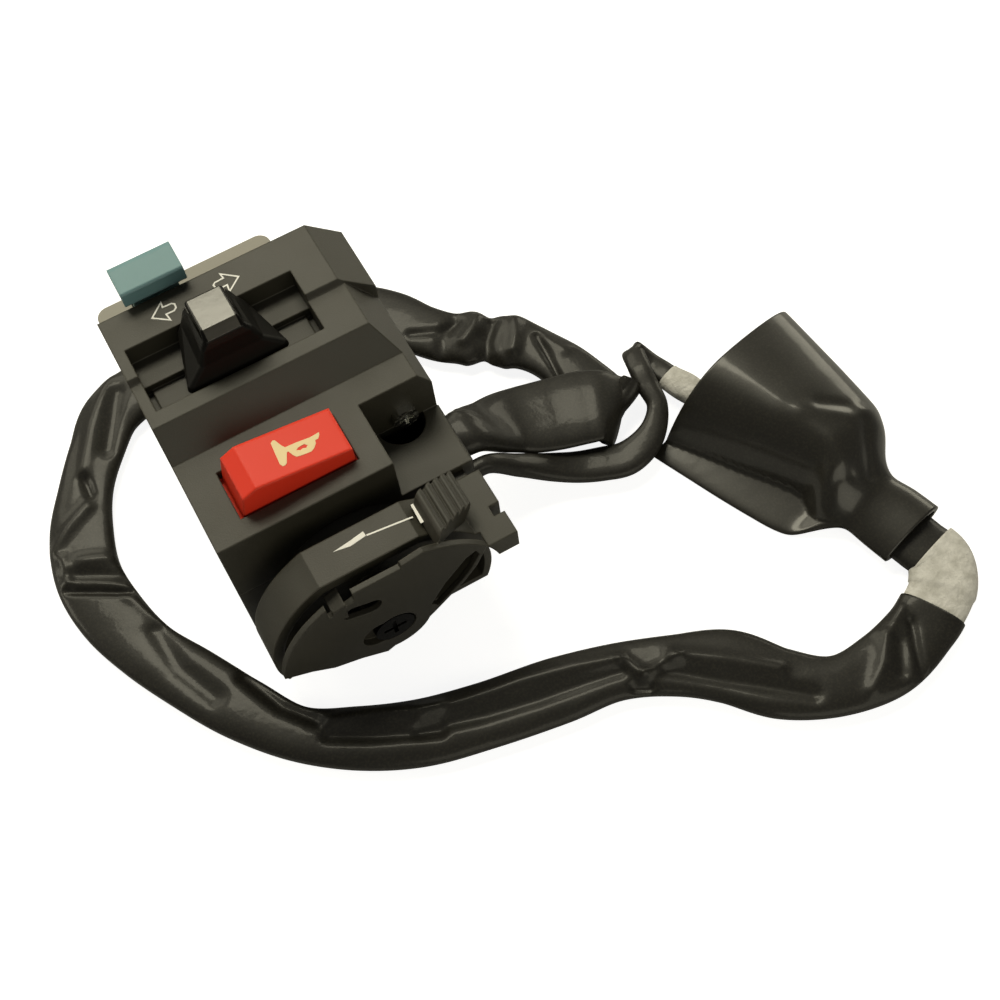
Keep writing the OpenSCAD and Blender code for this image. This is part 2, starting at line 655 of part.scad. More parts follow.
module horn_button()
  color("#d8351f") {
    along_y(horn_y0, horn_y1)
      polygon([[horn_x0, flange_z1 - eps], [horn_x1, flange_z1 - eps], [horn_x1, horn_z + horn_rise],
        [horn_x0 + 4.6, horn_z + horn_rise + horn_tilt], [horn_x0 + 1.4, horn_z + horn_rise + horn_tilt - 1.6]]);
    block([horn_x0 - flange, horn_x1 + flange], [horn_y0 - flange, horn_y1 + flange], [flange_z0, flange_z1]);
    translate([horn_x, horn_y, plunger_z0]) cylinder(r = plunger_r, h = flange_z0 + 1 - plunger_z0);
  }

module horn_spring()
  color("#c0c0bc") translate([horn_x, horn_y, horn_plate_z]) difference() {
    cylinder(r = plunger_r + 1.1, h = flange_z0 - horn_plate_z);
    translate([0, 0, -1]) cylinder(r = plunger_r + 0.3, h = 30);
  }

// Moving contact: a frame round the spring, with a foot at each end
module horn_bridge()
  color("#d2a758") {
    difference() {
      block(about(horn_x, horn_leg + 1.5), about(horn_y, 5.8), [flange_z0 - horn_bridge_t, flange_z0]);
      translate([horn_x, horn_y, 0]) cylinder(r = plunger_r + 1.4, h = flange_z0 + 1);
    }
    for (i = [-1, 1])
      block(about(horn_x + i*horn_leg, 0.6), about(horn_y, 2.5),
        [horn_plate_z + 1 + horn_travel + 0.2, flange_z0 - horn_bridge_t + eps]);
  }

module horn_base()
  color("#6d4a2c") difference() {
    block([left + wall + slide_gap, ledge_x - wall - slide_gap], about(horn_y, horn_w/2 + 1.6),
      [0, horn_plate_z]);
    block([left + 2*wall + slide_gap, ledge_x - 2*wall - slide_gap], about(horn_y, horn_w),
      [-1, horn_base_z]);
    translate([horn_x, horn_y, 0]) cylinder(r = plunger_r + pin_gap, h = horn_plate_z + 1);
  }

module horn_contacts()
  color("#c79a4a") for (i = [-1, 1])
    block(about(horn_x + i*horn_leg, 1.5), about(horn_y, 2.5), over(horn_plate_z, 0, 1));

// Pass switch

module pass_block()
  color("#9b988c") difference() {
    translate([0, 0, pass_z0]) linear_extrude(pass_z1 - pass_z0)
      rounded([pass_x0, pass_x1], [top_y - 3, pass_y1], 2.6);
    block([left - past, right + past], [-past, top_y], [0, face_z]);
    block(about(pad_x, stalk_l/2 + slide_gap), pass_slot_y, [pass_z0 + 2, face_z]);
    along_x(pass_x0 - 1, pad_x1 + 3) translate([pass_pin_y, pass_pin_z]) circle(pass_pin_r + 0.02);
  }

module pass_lever()
  color("#6f9092") difference() {
    union() {
      along_x(pad_x0, pad_x1)
        polygon([[pad_y0, pad_z0], [pad_y1 - 1, pad_z0], [pad_y1, pad_z0 + 1.2], [pad_y1 - 0.8, pad_z1 - 0.4],
          [pad_y1 - 2, pad_z1], [pad_y0 + 0.4, pad_z1], [pad_y0, pad_z1 - 0.4]]);
      along_x(pad_x - stalk_l/2, pad_x + stalk_l/2) {
        translate([pass_pin_y - stalk_t/2, pass_pin_z]) square([stalk_t, pad_z0 + 1 - pass_pin_z]);
        translate([pass_pin_y, pass_pin_z]) circle(stalk_t/2);
      }
    }
    along_x(pad_x0 - 1, pad_x1 + 1) translate([pass_pin_y, pass_pin_z]) circle(pass_pin_r + pin_gap);
    translate([pad_x, 0, pass_spring_z]) along_y(top_y, pass_pin_y) circle(pass_spring_r + slide_gap);
  }

module pass_pin()
  color("#c9c8c2") along_x(pass_x0 + 0.5, pad_x1 + 3 - eps)
    translate([pass_pin_y, pass_pin_z]) circle(pass_pin_r);

// Returns the lever: a plain hidden spring between the block's inner wall and the stalk's pocket
module pass_spring()
  color("#c0c0bc") translate([pad_x, 0, pass_spring_z])
    along_y(pass_slot_y[0], pass_pin_y) difference() {
      circle(pass_spring_r);
      circle(pass_spring_r - 0.5);
    }

module pass_contacts()
  color("#c79a4a") for (i = [-1, 1])
    block(about(pad_x + i*3, 0.9), pass_slot_y, over(pass_z0, 2, 2.6));

// Choke

// Opening beside the arm, and the lug that stands back from the plate in its notch
lever_opening = [[19.9, 14.2], [20.6, 12], [18.2, 7.6], [15.4, 4.2], [9.9, -0.6], [8.4, 1.6],
  [12.4, 7.6], [17.6, 13.2]];
lever_lug = [[-10.8, 15.4], [-8, 14.4], [-7.8, 19.8], [-10.6, 18.9]];

// Outline about the pivot: cable disc on the left, notch, stop bar, and the arm to the thumb tab
module lever_plate() {
  difference() {
    intersection() {
      circle(lever_r);
      polygon([[5.4, 22.6], [-30, 22.6], [-30, 6], [-18.8, -0.3], [-14.3, -3.8], [-8.5, -6], [-3, -9],
        [3, -6], [3, 8]]);
    }
    polygon([[-11.6, 30], [-11.6, 17.6], [-5.8, 19.4], [-5.8, 30]]);
  }
  circle(hub_r);
  intersection() {
    circle(tab_r0 + 1);
    polygon([[-2, 6], [4.8, 23.4], [10, 24.5], [15, 32], [32, 21], [24, 17], [19.6, 8], [16.5, 4.2],
      [8.8, -2.4], [4, -6]]);
  }
}

module choke_lever()
  color("#33332f") at_drum() difference() {
    union() {
      along_y(lever_y0, lever_y0 + plate_t) difference() {
        lever_plate();
        circle(hub_r - 1);
        slot2d([-7, 15], [-3, 13.6], 2.1);
        polygon(lever_opening);
      }
      along_y(lever_y0, lever_y1) difference() {
        circle(hub_r);
        circle(shoulder_r + pin_gap);
      }
      along_y(lever_y0, guard_y0 - 0.1) polygon(lever_lug);
      difference() {
        thumb_tab();
        translate([tab_r0*cos(tab_a1) - 1.6, lever_y0 - 0.7, -past*2]) rotate([0, 0, 37])
          translate([0, -past*2, 0]) cube(past*[3, 2, 4]);
        translate([tab_r1*cos(tab_a1) - 0.4, tab_y1 - 5.6, -past*2]) rotate(tab_lean)
          translate([-past, 0, 0]) cube(past*[3, 2, 4]);
      }
    }
    along_y(lever_y0 - 1, lever_y0 + head_t + 0.2) {
      circle(head_r + 0.4);
      translate([-3.2, 0.4]) circle(head_r - 0.3);
    }
  }

module thumb_tab() {
  along_y(lever_y0, tab_y1) {
    difference() {
      pie(tab_r1, tab_a0, tab_a1);
      circle(tab_r0);
    }
    for (i = [0:tab_ribs - 1])
      rotate(tab_a0 + 2 + i*(tab_a1 - tab_a0 - 4)/(tab_ribs - 1)) translate([tab_r1, 0]) circle(rib_r);
  }
}

module choke_pivot_screw()
  color("#a9a8a2") at_drum() {
    along_y(lever_y0 + head_t - eps, boss_y) circle(shoulder_r);
    along_y(boss_y - eps, boss_y + screw_deep - 0.5) circle(screw_r);
    difference() {
      along_y(lever_y0, lever_y0 + head_t) circle(head_r);
      for (a = [0, 90]) along_y(lever_y0 - 1, lever_y0 + 0.8) rotate(a) square([5, 0.9], center = true);
    }
  }

module choke_washer()
  color("#c9c8c2") at_drum() along_y(boss_y - washer_t, boss_y) difference() {
    circle(boss_r);
    circle(shoulder_r + 0.2);
  }

// Harness

module harness_grommet()
  color("#1c1b18") block([right - wall - 1, exit_x], grommet_y + 0.1*[1, -1], grommet_z + 0.1*[1, -1]);

module main_sleeve()
  color("#201f1b") flat_tube(harness_route, main_fold, 0, main_end);

module main_tape()
  color("#c9c6bd") flat_tube(harness_route, main_fold, main_end, tape_end);

module tail_sleeve()
  color("#201f1b") flat_tube(harness_route, main_fold, tape_end, len(harness_route) - 1);

module branch_sleeve()
  color("#201f1b") flat_tube(branch_all, branch_fold, 0, branch_end);

module branch_tape()
  color("#d3d0c6") flat_tube(branch_all, branch_fold, branch_end, len(branch_all) - 1);

// Boot: an oval collar that spreads into two sheets with a seam at each side. Across it u runs from -1
// at the left seam to 1 at the right one. A flat skirt lies left of the dome, and the top slopes off to
// the right.

function ease(x, a, b) = let (t = min(max((x - a)/(b - a), 0), 1)) t*t*(3 - 2*t);
function mix(a, b, t) = a + (b - a)*t;
function boot_top(u, b) = let (h = b[4]*boot_h,
    rim = b[3]*boot_h*ease(u, -0.9, 1) + boot_lip*sqrt(1 - pow(u, 8)),
    dome = ease(u, b[6], b[7])*sqrt(1 - pow(max(u, 0), 2)))
  mix(h/2*(1 + sqrt(1 - u*u)), mix(rim, h, dome), b[5]);
function boot_low(u, b) = mix(b[4]*boot_h/2*(1 - sqrt(1 - u*u)), b[3]*boot_h*ease(u, 0.86, 1), b[5]);
function boot_u(k, a, b) = (a + b)/2 + (b - a)/2*cos(360*k/boot_sides);
function boot_x(u, b) = mix(b[1], b[2], (u + 1)/2)*boot_w;
function boot_outer(b) = [for (k = [0:boot_sides - 1]) let (u = boot_u(k, -1, 1))
  [boot_x(u, b), b[0]*boot_l, 2*k <= boot_sides ? boot_top(u, b) : boot_low(u, b)]];
function boot_inner(b) = [for (k = [0:boot_sides - 1])
  let (u = boot_u(k, (b[6] + b[7])/2, 0.86), top = boot_top(u, b) - boot_t, low = boot_low(u, b) + boot_t)
  [boot_x(u, b) - boot_t*min(max(3*u, -1), 1), b[0]*boot_l,
   2*k % boot_sides == 0 ? (top + low)/2 : 2*k < boot_sides ? top : low]];

module boot_frame()
  translate([boot_at[0], boot_at[1], boot_floor]) rotate(boot_turn) children();

module connector_boot()
  color("#1d1c19") boot_frame() {
    inside = [for (i = [len(boot_shape) - 1:-1:0]) if (boot_shape[i][0] > boot_solid)
      boot_inner(boot_shape[i])];
    rings = concat([for (b = boot_shape) boot_outer(b)], inside);
    polyhedron([for (r = rings) each r], skin(len(rings), boot_sides));
  }

socket_x = 1;
socket_y0 = 0.5*boot_l;
socket_z = boot_t + 0.9;
blade_pitch = (socket_w - 4.8 - blade_w)/2;
branch_blade_pitch = 1;
branch_blade_z = socket_z + (branch_socket[1] - blade_t)/2;

module main_connector()
  color("#d8d4c4") boot_frame() difference() {
    translate([socket_x, socket_y0, socket_z]) cube([socket_w, socket_l, socket_h]);
    translate([socket_x + socket_t, socket_y0 + 5, socket_z + socket_t])
      cube([socket_w - 2*socket_t, socket_l, socket_h - 2*socket_t]);
  }

module main_terminals()
  color("#c79a4a") boot_frame()
    for (i = [0:2], j = [0, 1])
      translate([socket_x + 2.4 + i*blade_pitch, socket_y0 + 5,
        socket_z + 2.4 + j*(socket_h - 4.8 - blade_t)])
        cube([blade_w, 6, blade_t]);

// The branch's plug comes in through the mouth, so its open end faces the collar
module branch_connector()
  color("#d8d4c4") boot_frame() difference() {
    translate([branch_x, branch_y0, socket_z]) cube([branch_socket[0], branch_socket[2], branch_socket[1]]);
    translate([branch_x + 1.2, branch_y0 - 1, socket_z + 1.2])
      cube([branch_socket[0] - 2.4, branch_socket[2] - 4, branch_socket[1] - 2.4]);
  }

module branch_terminals()
  color("#c79a4a") boot_frame()
    for (i = [-1, 1])
      translate([plug_x + i*branch_blade_pitch - branch_blade_w/2, branch_y0 + 2, branch_blade_z])
        cube([branch_blade_w, branch_socket[2] - 7, blade_t]);

front_housing();
rear_housing();
choke_drum();
housing_screws();
lock_screw();
turn_knob();
turn_carrier();
cancel_spring();
turn_base();
turn_contacts();
turn_wiper();
detent_ball();
detent_spring();
horn_button();
horn_spring();
horn_bridge();
horn_base();
horn_contacts();
pass_lever();
pass_pin();
pass_block();
pass_spring();
pass_contacts();
choke_lever();
choke_pivot_screw();
choke_washer();
harness_grommet();
main_sleeve();
main_tape();
tail_sleeve();
branch_sleeve();
branch_tape();
connector_boot();
main_connector();
main_terminals();
branch_connector();
branch_terminals();
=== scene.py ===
import math

import bpy
import numpy as np
from mathutils import Matrix, Vector


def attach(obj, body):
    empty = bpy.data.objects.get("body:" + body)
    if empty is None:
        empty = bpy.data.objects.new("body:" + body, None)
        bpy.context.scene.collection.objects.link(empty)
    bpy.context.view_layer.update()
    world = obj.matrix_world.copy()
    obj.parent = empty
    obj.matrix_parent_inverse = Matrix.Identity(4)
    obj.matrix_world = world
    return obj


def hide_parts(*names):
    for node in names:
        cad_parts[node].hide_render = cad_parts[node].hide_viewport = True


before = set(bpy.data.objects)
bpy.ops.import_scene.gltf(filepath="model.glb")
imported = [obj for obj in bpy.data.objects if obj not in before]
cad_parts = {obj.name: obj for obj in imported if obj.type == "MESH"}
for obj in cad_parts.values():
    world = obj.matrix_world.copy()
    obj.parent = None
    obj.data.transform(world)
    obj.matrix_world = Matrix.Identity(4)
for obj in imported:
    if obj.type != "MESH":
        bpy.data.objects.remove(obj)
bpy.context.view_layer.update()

# Camera: a phone held over the table, 62 degrees above it and a little to the left.
# Lengths in this file are millimetres until MM turns a finished mesh to metres.

MM = 0.001
CAMERA_AT = (-25.4, -189.5, 289.2)
AZIMUTH, ELEVATION, ROLL = np.radians([-20.58, 62.02, -9.31])
LENS, SENSOR = 57.6, 36.0

away = Vector((math.sin(AZIMUTH) * math.cos(ELEVATION), -math.cos(AZIMUTH) * math.cos(ELEVATION),
               math.sin(ELEVATION)))
level = Vector((math.cos(AZIMUTH), math.sin(AZIMUTH), 0))
rise = away.cross(level)
across = level * math.cos(ROLL) + rise * math.sin(ROLL)
upward = rise * math.cos(ROLL) - level * math.sin(ROLL)
camera = bpy.data.objects.new("camera", bpy.data.cameras.new("camera"))
camera.data.lens = LENS
camera.data.sensor_width = SENSOR
camera.data.clip_start = 0.01
camera.matrix_world = (Matrix.Translation(Vector(CAMERA_AT) * MM)
                       @ Matrix((across, upward, away)).transposed().to_4x4())
bpy.context.scene.collection.objects.link(camera)
bpy.context.scene.camera = camera
bpy.context.scene.view_settings.view_transform = "Standard"

# Table and light: a sheet of white card under a soft window light from the far side. The card looks white
# to the camera and pale to gloss, and keeps the shadow, but throws only a little light up at the object.

TABLE_Z, CARD_DROP, CARD_HALF = -19.0, 0.3, 2000
CARD_GLOW, CARD_GLOSS = 0.87, 0.06
SKY, SKY_GLOSS = 0.06, 0.12


def linear(colour):
    """sRGB hex to the linear colour a shader takes."""
    parts = [int(colour[i:i + 2], 16) / 255 for i in (1, 3, 5)]
    return tuple(c / 12.92 if c <= 0.04045 else ((c + 0.055) / 1.055) ** 2.4 for c in parts) + (1.0,)


def node(tree, kind, **settings):
    """Adds a node. Each setting is an option or a socket, by its name or by place as in0, in1."""
    made = tree.nodes.new(kind)
    for name, value in settings.items():
        place = name[2:].isdigit() and name.startswith("in")
        socket = made.inputs[int(name[2:])] if place else made.inputs.get(name.replace("_", " "))
        if socket is None:
            setattr(made, name, value)
        elif isinstance(value, bpy.types.NodeSocket):
            tree.links.new(value, socket)
        else:
            socket.default_value = value
    return made


def empty_tree(owner):
    """Gives a material or world a cleared node tree."""
    owner.use_nodes = True
    owner.node_tree.nodes.clear()
    return owner.node_tree


def seen_directly(tree):
    """One where the ray comes from the camera or through something clear, and one where it is glossy."""
    rays = node(tree, "ShaderNodeLightPath")
    direct = node(tree, "ShaderNodeMath", operation="MAXIMUM", in0=rays.outputs["Is Camera Ray"],
                  in1=rays.outputs["Is Transmission Ray"])
    return direct.outputs[0], rays.outputs["Is Glossy Ray"]


def new_object(name, points, faces, smooth=True):
    """Makes a mesh object of points in millimetres, at the origin and unturned."""
    mesh = bpy.data.meshes.new(name)
    mesh.from_pydata((np.asarray(points, float).reshape(-1, 3) * MM).tolist(), [], faces)
    mesh.polygons.foreach_set("use_smooth", np.full(len(mesh.polygons), smooth))
    mesh.update()
    made = bpy.data.objects.new(name, mesh)
    bpy.context.scene.collection.objects.link(made)
    return made


corners = [(x * CARD_HALF, y * CARD_HALF, TABLE_Z - CARD_DROP)
           for x, y in ((-1, -1), (1, -1), (1, 1), (-1, 1))]
card = new_object("table_card", corners, [(0, 1, 2, 3)])
card_paper = bpy.data.materials.new("card_paper")
tree = empty_tree(card_paper)
direct, gloss = seen_directly(tree)
direct_glow = node(tree, "ShaderNodeMath", operation="MULTIPLY", in0=direct, in1=CARD_GLOW)
glow = node(tree, "ShaderNodeMath", operation="MULTIPLY_ADD", in0=gloss, in1=CARD_GLOSS,
            in2=direct_glow.outputs[0])
fibre = node(tree, "ShaderNodeTexNoise", Scale=1 / (0.8 * MM), Detail=3.0,
             Vector=node(tree, "ShaderNodeTexCoord").outputs["Object"])
tone = node(tree, "ShaderNodeMapRange", Value=fibre.outputs["Fac"], To_Min=0.58, To_Max=0.62)
paper = node(tree, "ShaderNodeBsdfDiffuse", Color=tone.outputs["Result"])
shine = node(tree, "ShaderNodeEmission", Color=linear("#ffffff"), Strength=glow.outputs[0])
both = node(tree, "ShaderNodeAddShader", in0=paper.outputs[0], in1=shine.outputs[0])
node(tree, "ShaderNodeOutputMaterial", Surface=both.outputs[0])
card.data.materials.append(card_paper)

world = bpy.data.worlds.new("room")
bpy.context.scene.world = world
tree = empty_tree(world)
direct, gloss = seen_directly(tree)
direct_sky = node(tree, "ShaderNodeMath", operation="MULTIPLY_ADD", in0=direct, in1=1 - SKY, in2=SKY)
sky = node(tree, "ShaderNodeMath", operation="MULTIPLY_ADD", in0=gloss, in1=SKY_GLOSS - SKY,
           in2=direct_sky.outputs[0])
room = node(tree, "ShaderNodeBackground", Color=linear("#ffffff"), Strength=sky.outputs[0])
node(tree, "ShaderNodeOutputWorld", Surface=room.outputs[0])

WINDOW_COLOUR = "#fff9e0"
# Each lamp: its place and what it points at in metres, its width and height, and its watts.
WINDOWS = [
    ("near_window", (0.08, 0.36, 0.68), (0.02, -0.03, 0.0), (0.50, 0.24), 3.3),
    ("far_window", (-0.05, 0.60, 0.40), (0.02, -0.03, 0.0), (0.60, 0.30), 1.6),
    ("right_window", (0.59, 0.26, 0.12), (0.02, -0.03, 0.0), (0.30, 0.20), 0.7),
    ("left_window", (-0.55, 0.30, 0.26), (0.00, -0.03, 0.0), (0.20, 0.20), 0.7),
    ("front_wall", (0.05, -0.60, 0.30), (0.02, -0.03, 0.0), (0.60, 0.44), 1.2),
]
for name, place, target, size, watts in WINDOWS:
    lamp = bpy.data.lights.new(name, "AREA")
    lamp.shape = "RECTANGLE"
    lamp.size, lamp.size_y = size
    lamp.energy = watts
    lamp.color = linear(WINDOW_COLOUR)[:3]
    holder = bpy.data.objects.new(name, lamp)
    turn = (Vector(place) - Vector(target)).to_track_quat("Z", "Y").to_matrix().to_4x4()
    holder.matrix_world = Matrix.Translation(place) @ turn
    bpy.context.scene.collection.objects.link(holder)

# Wide harness sleeve: soft black PVC tube, pulled loose over the wires, so it lies flat and creases.
# It leaves the grommet, folds over on itself and runs round the housing along the table to the boot.

REST_Z = -16.6
EXIT_X = 27.8
BOOT_AT, BOOT_TURN = (101.4, -89.7), math.radians(15)
# Each row: x, y, z of the middle, half width, half thickness.
SLEEVE_ROUTE = [
    [EXIT_X, -26.4, -2.5, 5.2, 3], [EXIT_X + 3.2, -26.4, -2.5, 5.6, 2.9], [36.5, -25.4, -7.5, 7.2, 2.6],
    [42, -25, -10.6, 8.3, 2.2], [50.5, -27.2, -11.6, 9.1, 2], [57.5, -29.2, -11.7, 9.2, 1.9],
    [61.6, -31, -11.9, 8.8, 1.7], [64.2, -32.8, -14.2, 8, 1.4],
    [63.4, -28.2, -16.8, 7.4, 1.7], [62.2, -21.5, -16.8, 6.6, 2], [60.6, -15, REST_Z, 6, 2.2],
    [58.2, -9.6, REST_Z, 5.7, 2.2], [55, -4.8, REST_Z, 6.2, 2.2], [51, -1, REST_Z, 6.7, 2.2],
    [46.4, 2.4, REST_Z, 6.6, 2.2], [41.5, 5.8, REST_Z, 6.6, 2.2], [37.3, 10.8, REST_Z, 6.5, 2.2],
    [33, 17.5, REST_Z, 6.8, 2.2], [27, 23.5, REST_Z, 6.8, 2.2], [17, 28, REST_Z, 6.8, 2.2],
    [3, 30.3, REST_Z, 6.8, 2.2], [-12, 31, REST_Z, 7, 2.2], [-24, 30.6, REST_Z, 7, 2.3],
    [-33.7, 27.6, REST_Z, 7, 2.3], [-40, 20.7, REST_Z, 6.4, 2.3], [-46, 12.6, REST_Z, 6.2, 2.3],
    [-50.9, 3.2, REST_Z, 7, 2.3], [-53.6, -8, REST_Z, 7.2, 2.3], [-52.6, -19, REST_Z, 7.2, 2.3],
    [-49.3, -29.9, REST_Z, 6.7, 2.3], [-43.5, -41, REST_Z, 6.9, 2.3], [-36.9, -52.6, REST_Z, 6.7, 2.3],
    [-29.2, -63.2, REST_Z, 5.8, 2.3], [-19.2, -70.1, REST_Z, 6.7, 2.3], [-8.3, -75.3, REST_Z, 7.2, 2.3],
    [5.4, -79, REST_Z, 7.2, 2.3], [21, -81.9, REST_Z, 7.2, 2.3], [33, -84.4, REST_Z, 6.2, 2.3],
    [43.7, -89, REST_Z, 6.6, 2.3], [53.1, -94.8, REST_Z, 8, 2.3], [60.3, -103.3, REST_Z, 7.6, 2.3],
    [69.7, -109.4, REST_Z, 6.4, 2.3], [80.5, -110.4, REST_Z, 7.2, 2.3], [90.2, -107.9, REST_Z, 7, 2.3],
    [95.2, -105.6, REST_Z, 6.6, 2.3]]
SLEEVE_FOLD = 7
RING_STEP, RING_SIDES = 0.5, 96
# Each fold: its height, how far it reaches to each side, and the line it follows in plan.
SLEEVE_FOLDS = [
    (-1.7, 1.7, [(51.8, 3.0), (48.7, -0.3), (46.6, -4.2), (46.2, -8.7)]),
    (0.9, 1.5, [(50.1, 6.0), (48.0, 3.7), (44.0, 1.6)]),
    (1.0, 1.6, [(57.1, 1.4), (55.1, -2.7), (52.3, -6.4)]),
    (-0.8, 0.9, [(58.8, -5.9), (58.2, -12.6), (57.7, -17.7)]), (0.5, 1.8, [(59.4, -5.6), (62.2, -12.2)]),
    (-0.6, 1.0, [(34.5, 9.8), (40.7, 6.6), (44.7, 7.0)]),
    (-0.9, 1.8, [(44.7, 8.0), (40.4, 4.8), (37.6, 0.7)]),
    (0.35, 0.6, [(29.9, -20.1), (32.5, -22.3), (34.8, -23.5)]),
    (0.35, 0.6, [(29.4, -21.6), (32.7, -23.9), (35.3, -26.4)]),
    (0.8, 1.8, [(-30.6, 36.2), (-38.7, 25.4), (-44.7, 15.3)]), (-0.9, 1.8, [(-30.1, 30.9), (-37.9, 18.4)]),
    (0.8, 1.5, [(-58.1, 0.7), (-52.6, 4.2), (-47.3, 6.8)]), (-1.2, 1.2, [(-45.2, 14.1), (-45.6, 9.7)]),
    (0.7, 1.5, [(-53.3, -4.8), (-46.0, -7.7)]), (0.7, 1.3, [(-56.9, -1.9), (-57.0, -6.2), (-58.5, -9.1)]),
    (-1.5, 0.9, [(-58.7, -9.5), (-46.9, -16.8)]), (-0.9, 1.4, [(-56.3, -6.7), (-47.2, -12.1)]),
    (-0.9, 2.2, [(-45.8, -28.1), (-44.7, -38.5), (-40.9, -47.9)]),
    (0.7, 1.6, [(-47.4, -17.1), (-43.7, -26.1)]),
    (-1.1, 1.5, [(-33.8, -47.0), (-29.8, -56.8), (-24.5, -63.6)]),
    (0.7, 1.5, [(-23.5, -64.1), (-13.7, -67.6), (-1.9, -73.2)]),
    (-0.9, 1.6, [(-24.0, -67.5), (-16.0, -72.2), (-4.4, -78.0)]),
    (0.7, 1.6, [(-5.8, -72.3), (4.5, -74.8), (15.0, -76.7), (25.3, -79.4), (33.6, -82.5)]),
    (-0.8, 1.6, [(-7.5, -75.7), (5.1, -79.6), (16.2, -82.1), (26.8, -83.9), (33.6, -85.2)]),
    (0.9, 1.2, [(34.8, -83.2), (36.9, -88.2)]), (0.8, 1.2, [(37.7, -88.3), (44.7, -88.6)]),
    (-1.3, 1.2, [(34.3, -89.7), (36.8, -91.1)]),
    (-0.9, 1.6, [(41.8, -89.8), (47.8, -95.1), (53.3, -99.8), (64.1, -109.1)]),
    (0.8, 1.6, [(44.2, -87.4), (52.9, -93.9), (61.1, -100.9)]),
    (0.8, 1.6, [(83.9, -105.4), (80.0, -110.3), (74.6, -114.3)]),
    (-1.0, 1.0, [(89.5, -106.0), (87.1, -110.9), (84.9, -116.3)]),
    (0.6, 1.2, [(89.5, -102.3), (86.4, -104.2)]),
    (-0.8, 1.4, [(85.4, -108.1), (81.7, -114.0)])]
# Each pinch: x, y, reach along the sleeve, change of its half width.
SLEEVE_PINCHES = [(48.7, -0.3, 1.8, -1.2), (46.0, 3.0, 2.0, 0.7), (53.8, -3.6, 2.2, 0.6)]
CUFF_LENGTH, CUFF_RISE = 6.0, 0.5


def in_boot(x, y):
    """A place in the boot's own plan to the part's."""
    c, s = math.cos(BOOT_TURN), math.sin(BOOT_TURN)
    return [BOOT_AT[0] + x * c - y * s, BOOT_AT[1] + x * s + y * c]


TAPE_ROUTE = [[100.6, -101.8, REST_Z, 6.5, 2.4], [103.2, -96.8, REST_Z, 6.3, 2.3]]
TAIL_ROUTE = [[*in_boot(0, -2.6), REST_Z, 6.3, 2.3], [*in_boot(0, 2.0), REST_Z, 6.4, 2.3]]


def unit(v):
    """Vectors scaled to length one."""
    return v / np.maximum(np.linalg.norm(v, axis=-1, keepdims=True), 1e-9)


def ease(x, a, b):
    """Goes smoothly from nought at a to one at b."""
    t = np.clip((x - a) / (b - a), 0, 1)
    return t * t * (3 - 2 * t)


def flat_frames(route, fold):
    """Adds each row's width direction: square to the route in plan, turned over past the fold."""
    rows = np.array(route, float)
    p = rows[:, :3]
    along = unit(np.vstack([p[1] - p[0], p[2:] - p[:-2], p[-1] - p[-2]]))
    wide = unit(np.stack([along[:, 1], -along[:, 0], 0 * along[:, 0]], 1))
    wide[fold:] *= -1
    wide[fold] = unit(wide[fold - 1] + wide[fold + 1])
    return np.hstack([rows, wide])


def even_path(rows, step):
    """Cubic curve through the rows, cut into even steps; gives the samples, their run and each row's run."""
    knots = np.concatenate([[0], np.cumsum(np.linalg.norm(np.diff(rows[:, :3], axis=0), axis=1) ** 0.75)])
    slope = np.gradient(rows, knots, axis=0)
    x = np.linspace(0, knots[-1], len(rows) * 60)
    i = np.clip(np.searchsorted(knots, x, side="right") - 1, 0, len(rows) - 2)
    h = (knots[i + 1] - knots[i])[:, None]
    t = ((x - knots[i]) / h[:, 0])[:, None]
    fine = ((2 * t ** 3 - 3 * t ** 2 + 1) * rows[i] + (t ** 3 - 2 * t ** 2 + t) * h * slope[i]
            + (3 * t ** 2 - 2 * t ** 3) * rows[i + 1] + (t ** 3 - t ** 2) * h * slope[i + 1])
    run = np.concatenate([[0], np.cumsum(np.linalg.norm(np.diff(fine[:, :3], axis=0), axis=1))])
    even = np.linspace(0, run[-1], max(int(run[-1] / step), 2) + 1)
    samples = np.stack([np.interp(even, run, fine[:, k]) for k in range(fine.shape[1])], 1)
    return samples, even, np.interp(knots, x, run)


def swell(u, v, seed, turns):
    """Smooth random heights from 0 to 1 on a unit lattice; v comes round again after the given turns."""
    table = np.random.default_rng(seed).random((256, turns))
    iu, iv = np.floor(u).astype(int), np.floor(v).astype(int)
    fu, fv = ease(u - iu, 0, 1), ease(v - iv, 0, 1)
    near = table[iu % 256, iv % turns] * (1 - fu) + table[(iu + 1) % 256, iv % turns] * fu
    far = table[iu % 256, (iv + 1) % turns] * (1 - fu) + table[(iu + 1) % 256, (iv + 1) % turns] * fu
    return near * (1 - fv) + far * fv


def fold_height(places, folds):
    """Height of the folds at places in plan: each falls off like a bell with the distance from its line."""
    total = np.zeros(places.shape[:-1])
    for height, reach, line in folds:
        a = np.array(line[:-1], float)
        d = np.diff(np.array(line, float), axis=0)
        off = places[..., None, :] - a
        t = np.clip(np.sum(off * d, -1) / np.sum(d * d, -1), 0, 1)
        far = np.linalg.norm(off - t[..., None] * d, axis=-1).min(-1)
        total += height * np.exp(-(far / reach) ** 2)
    return total


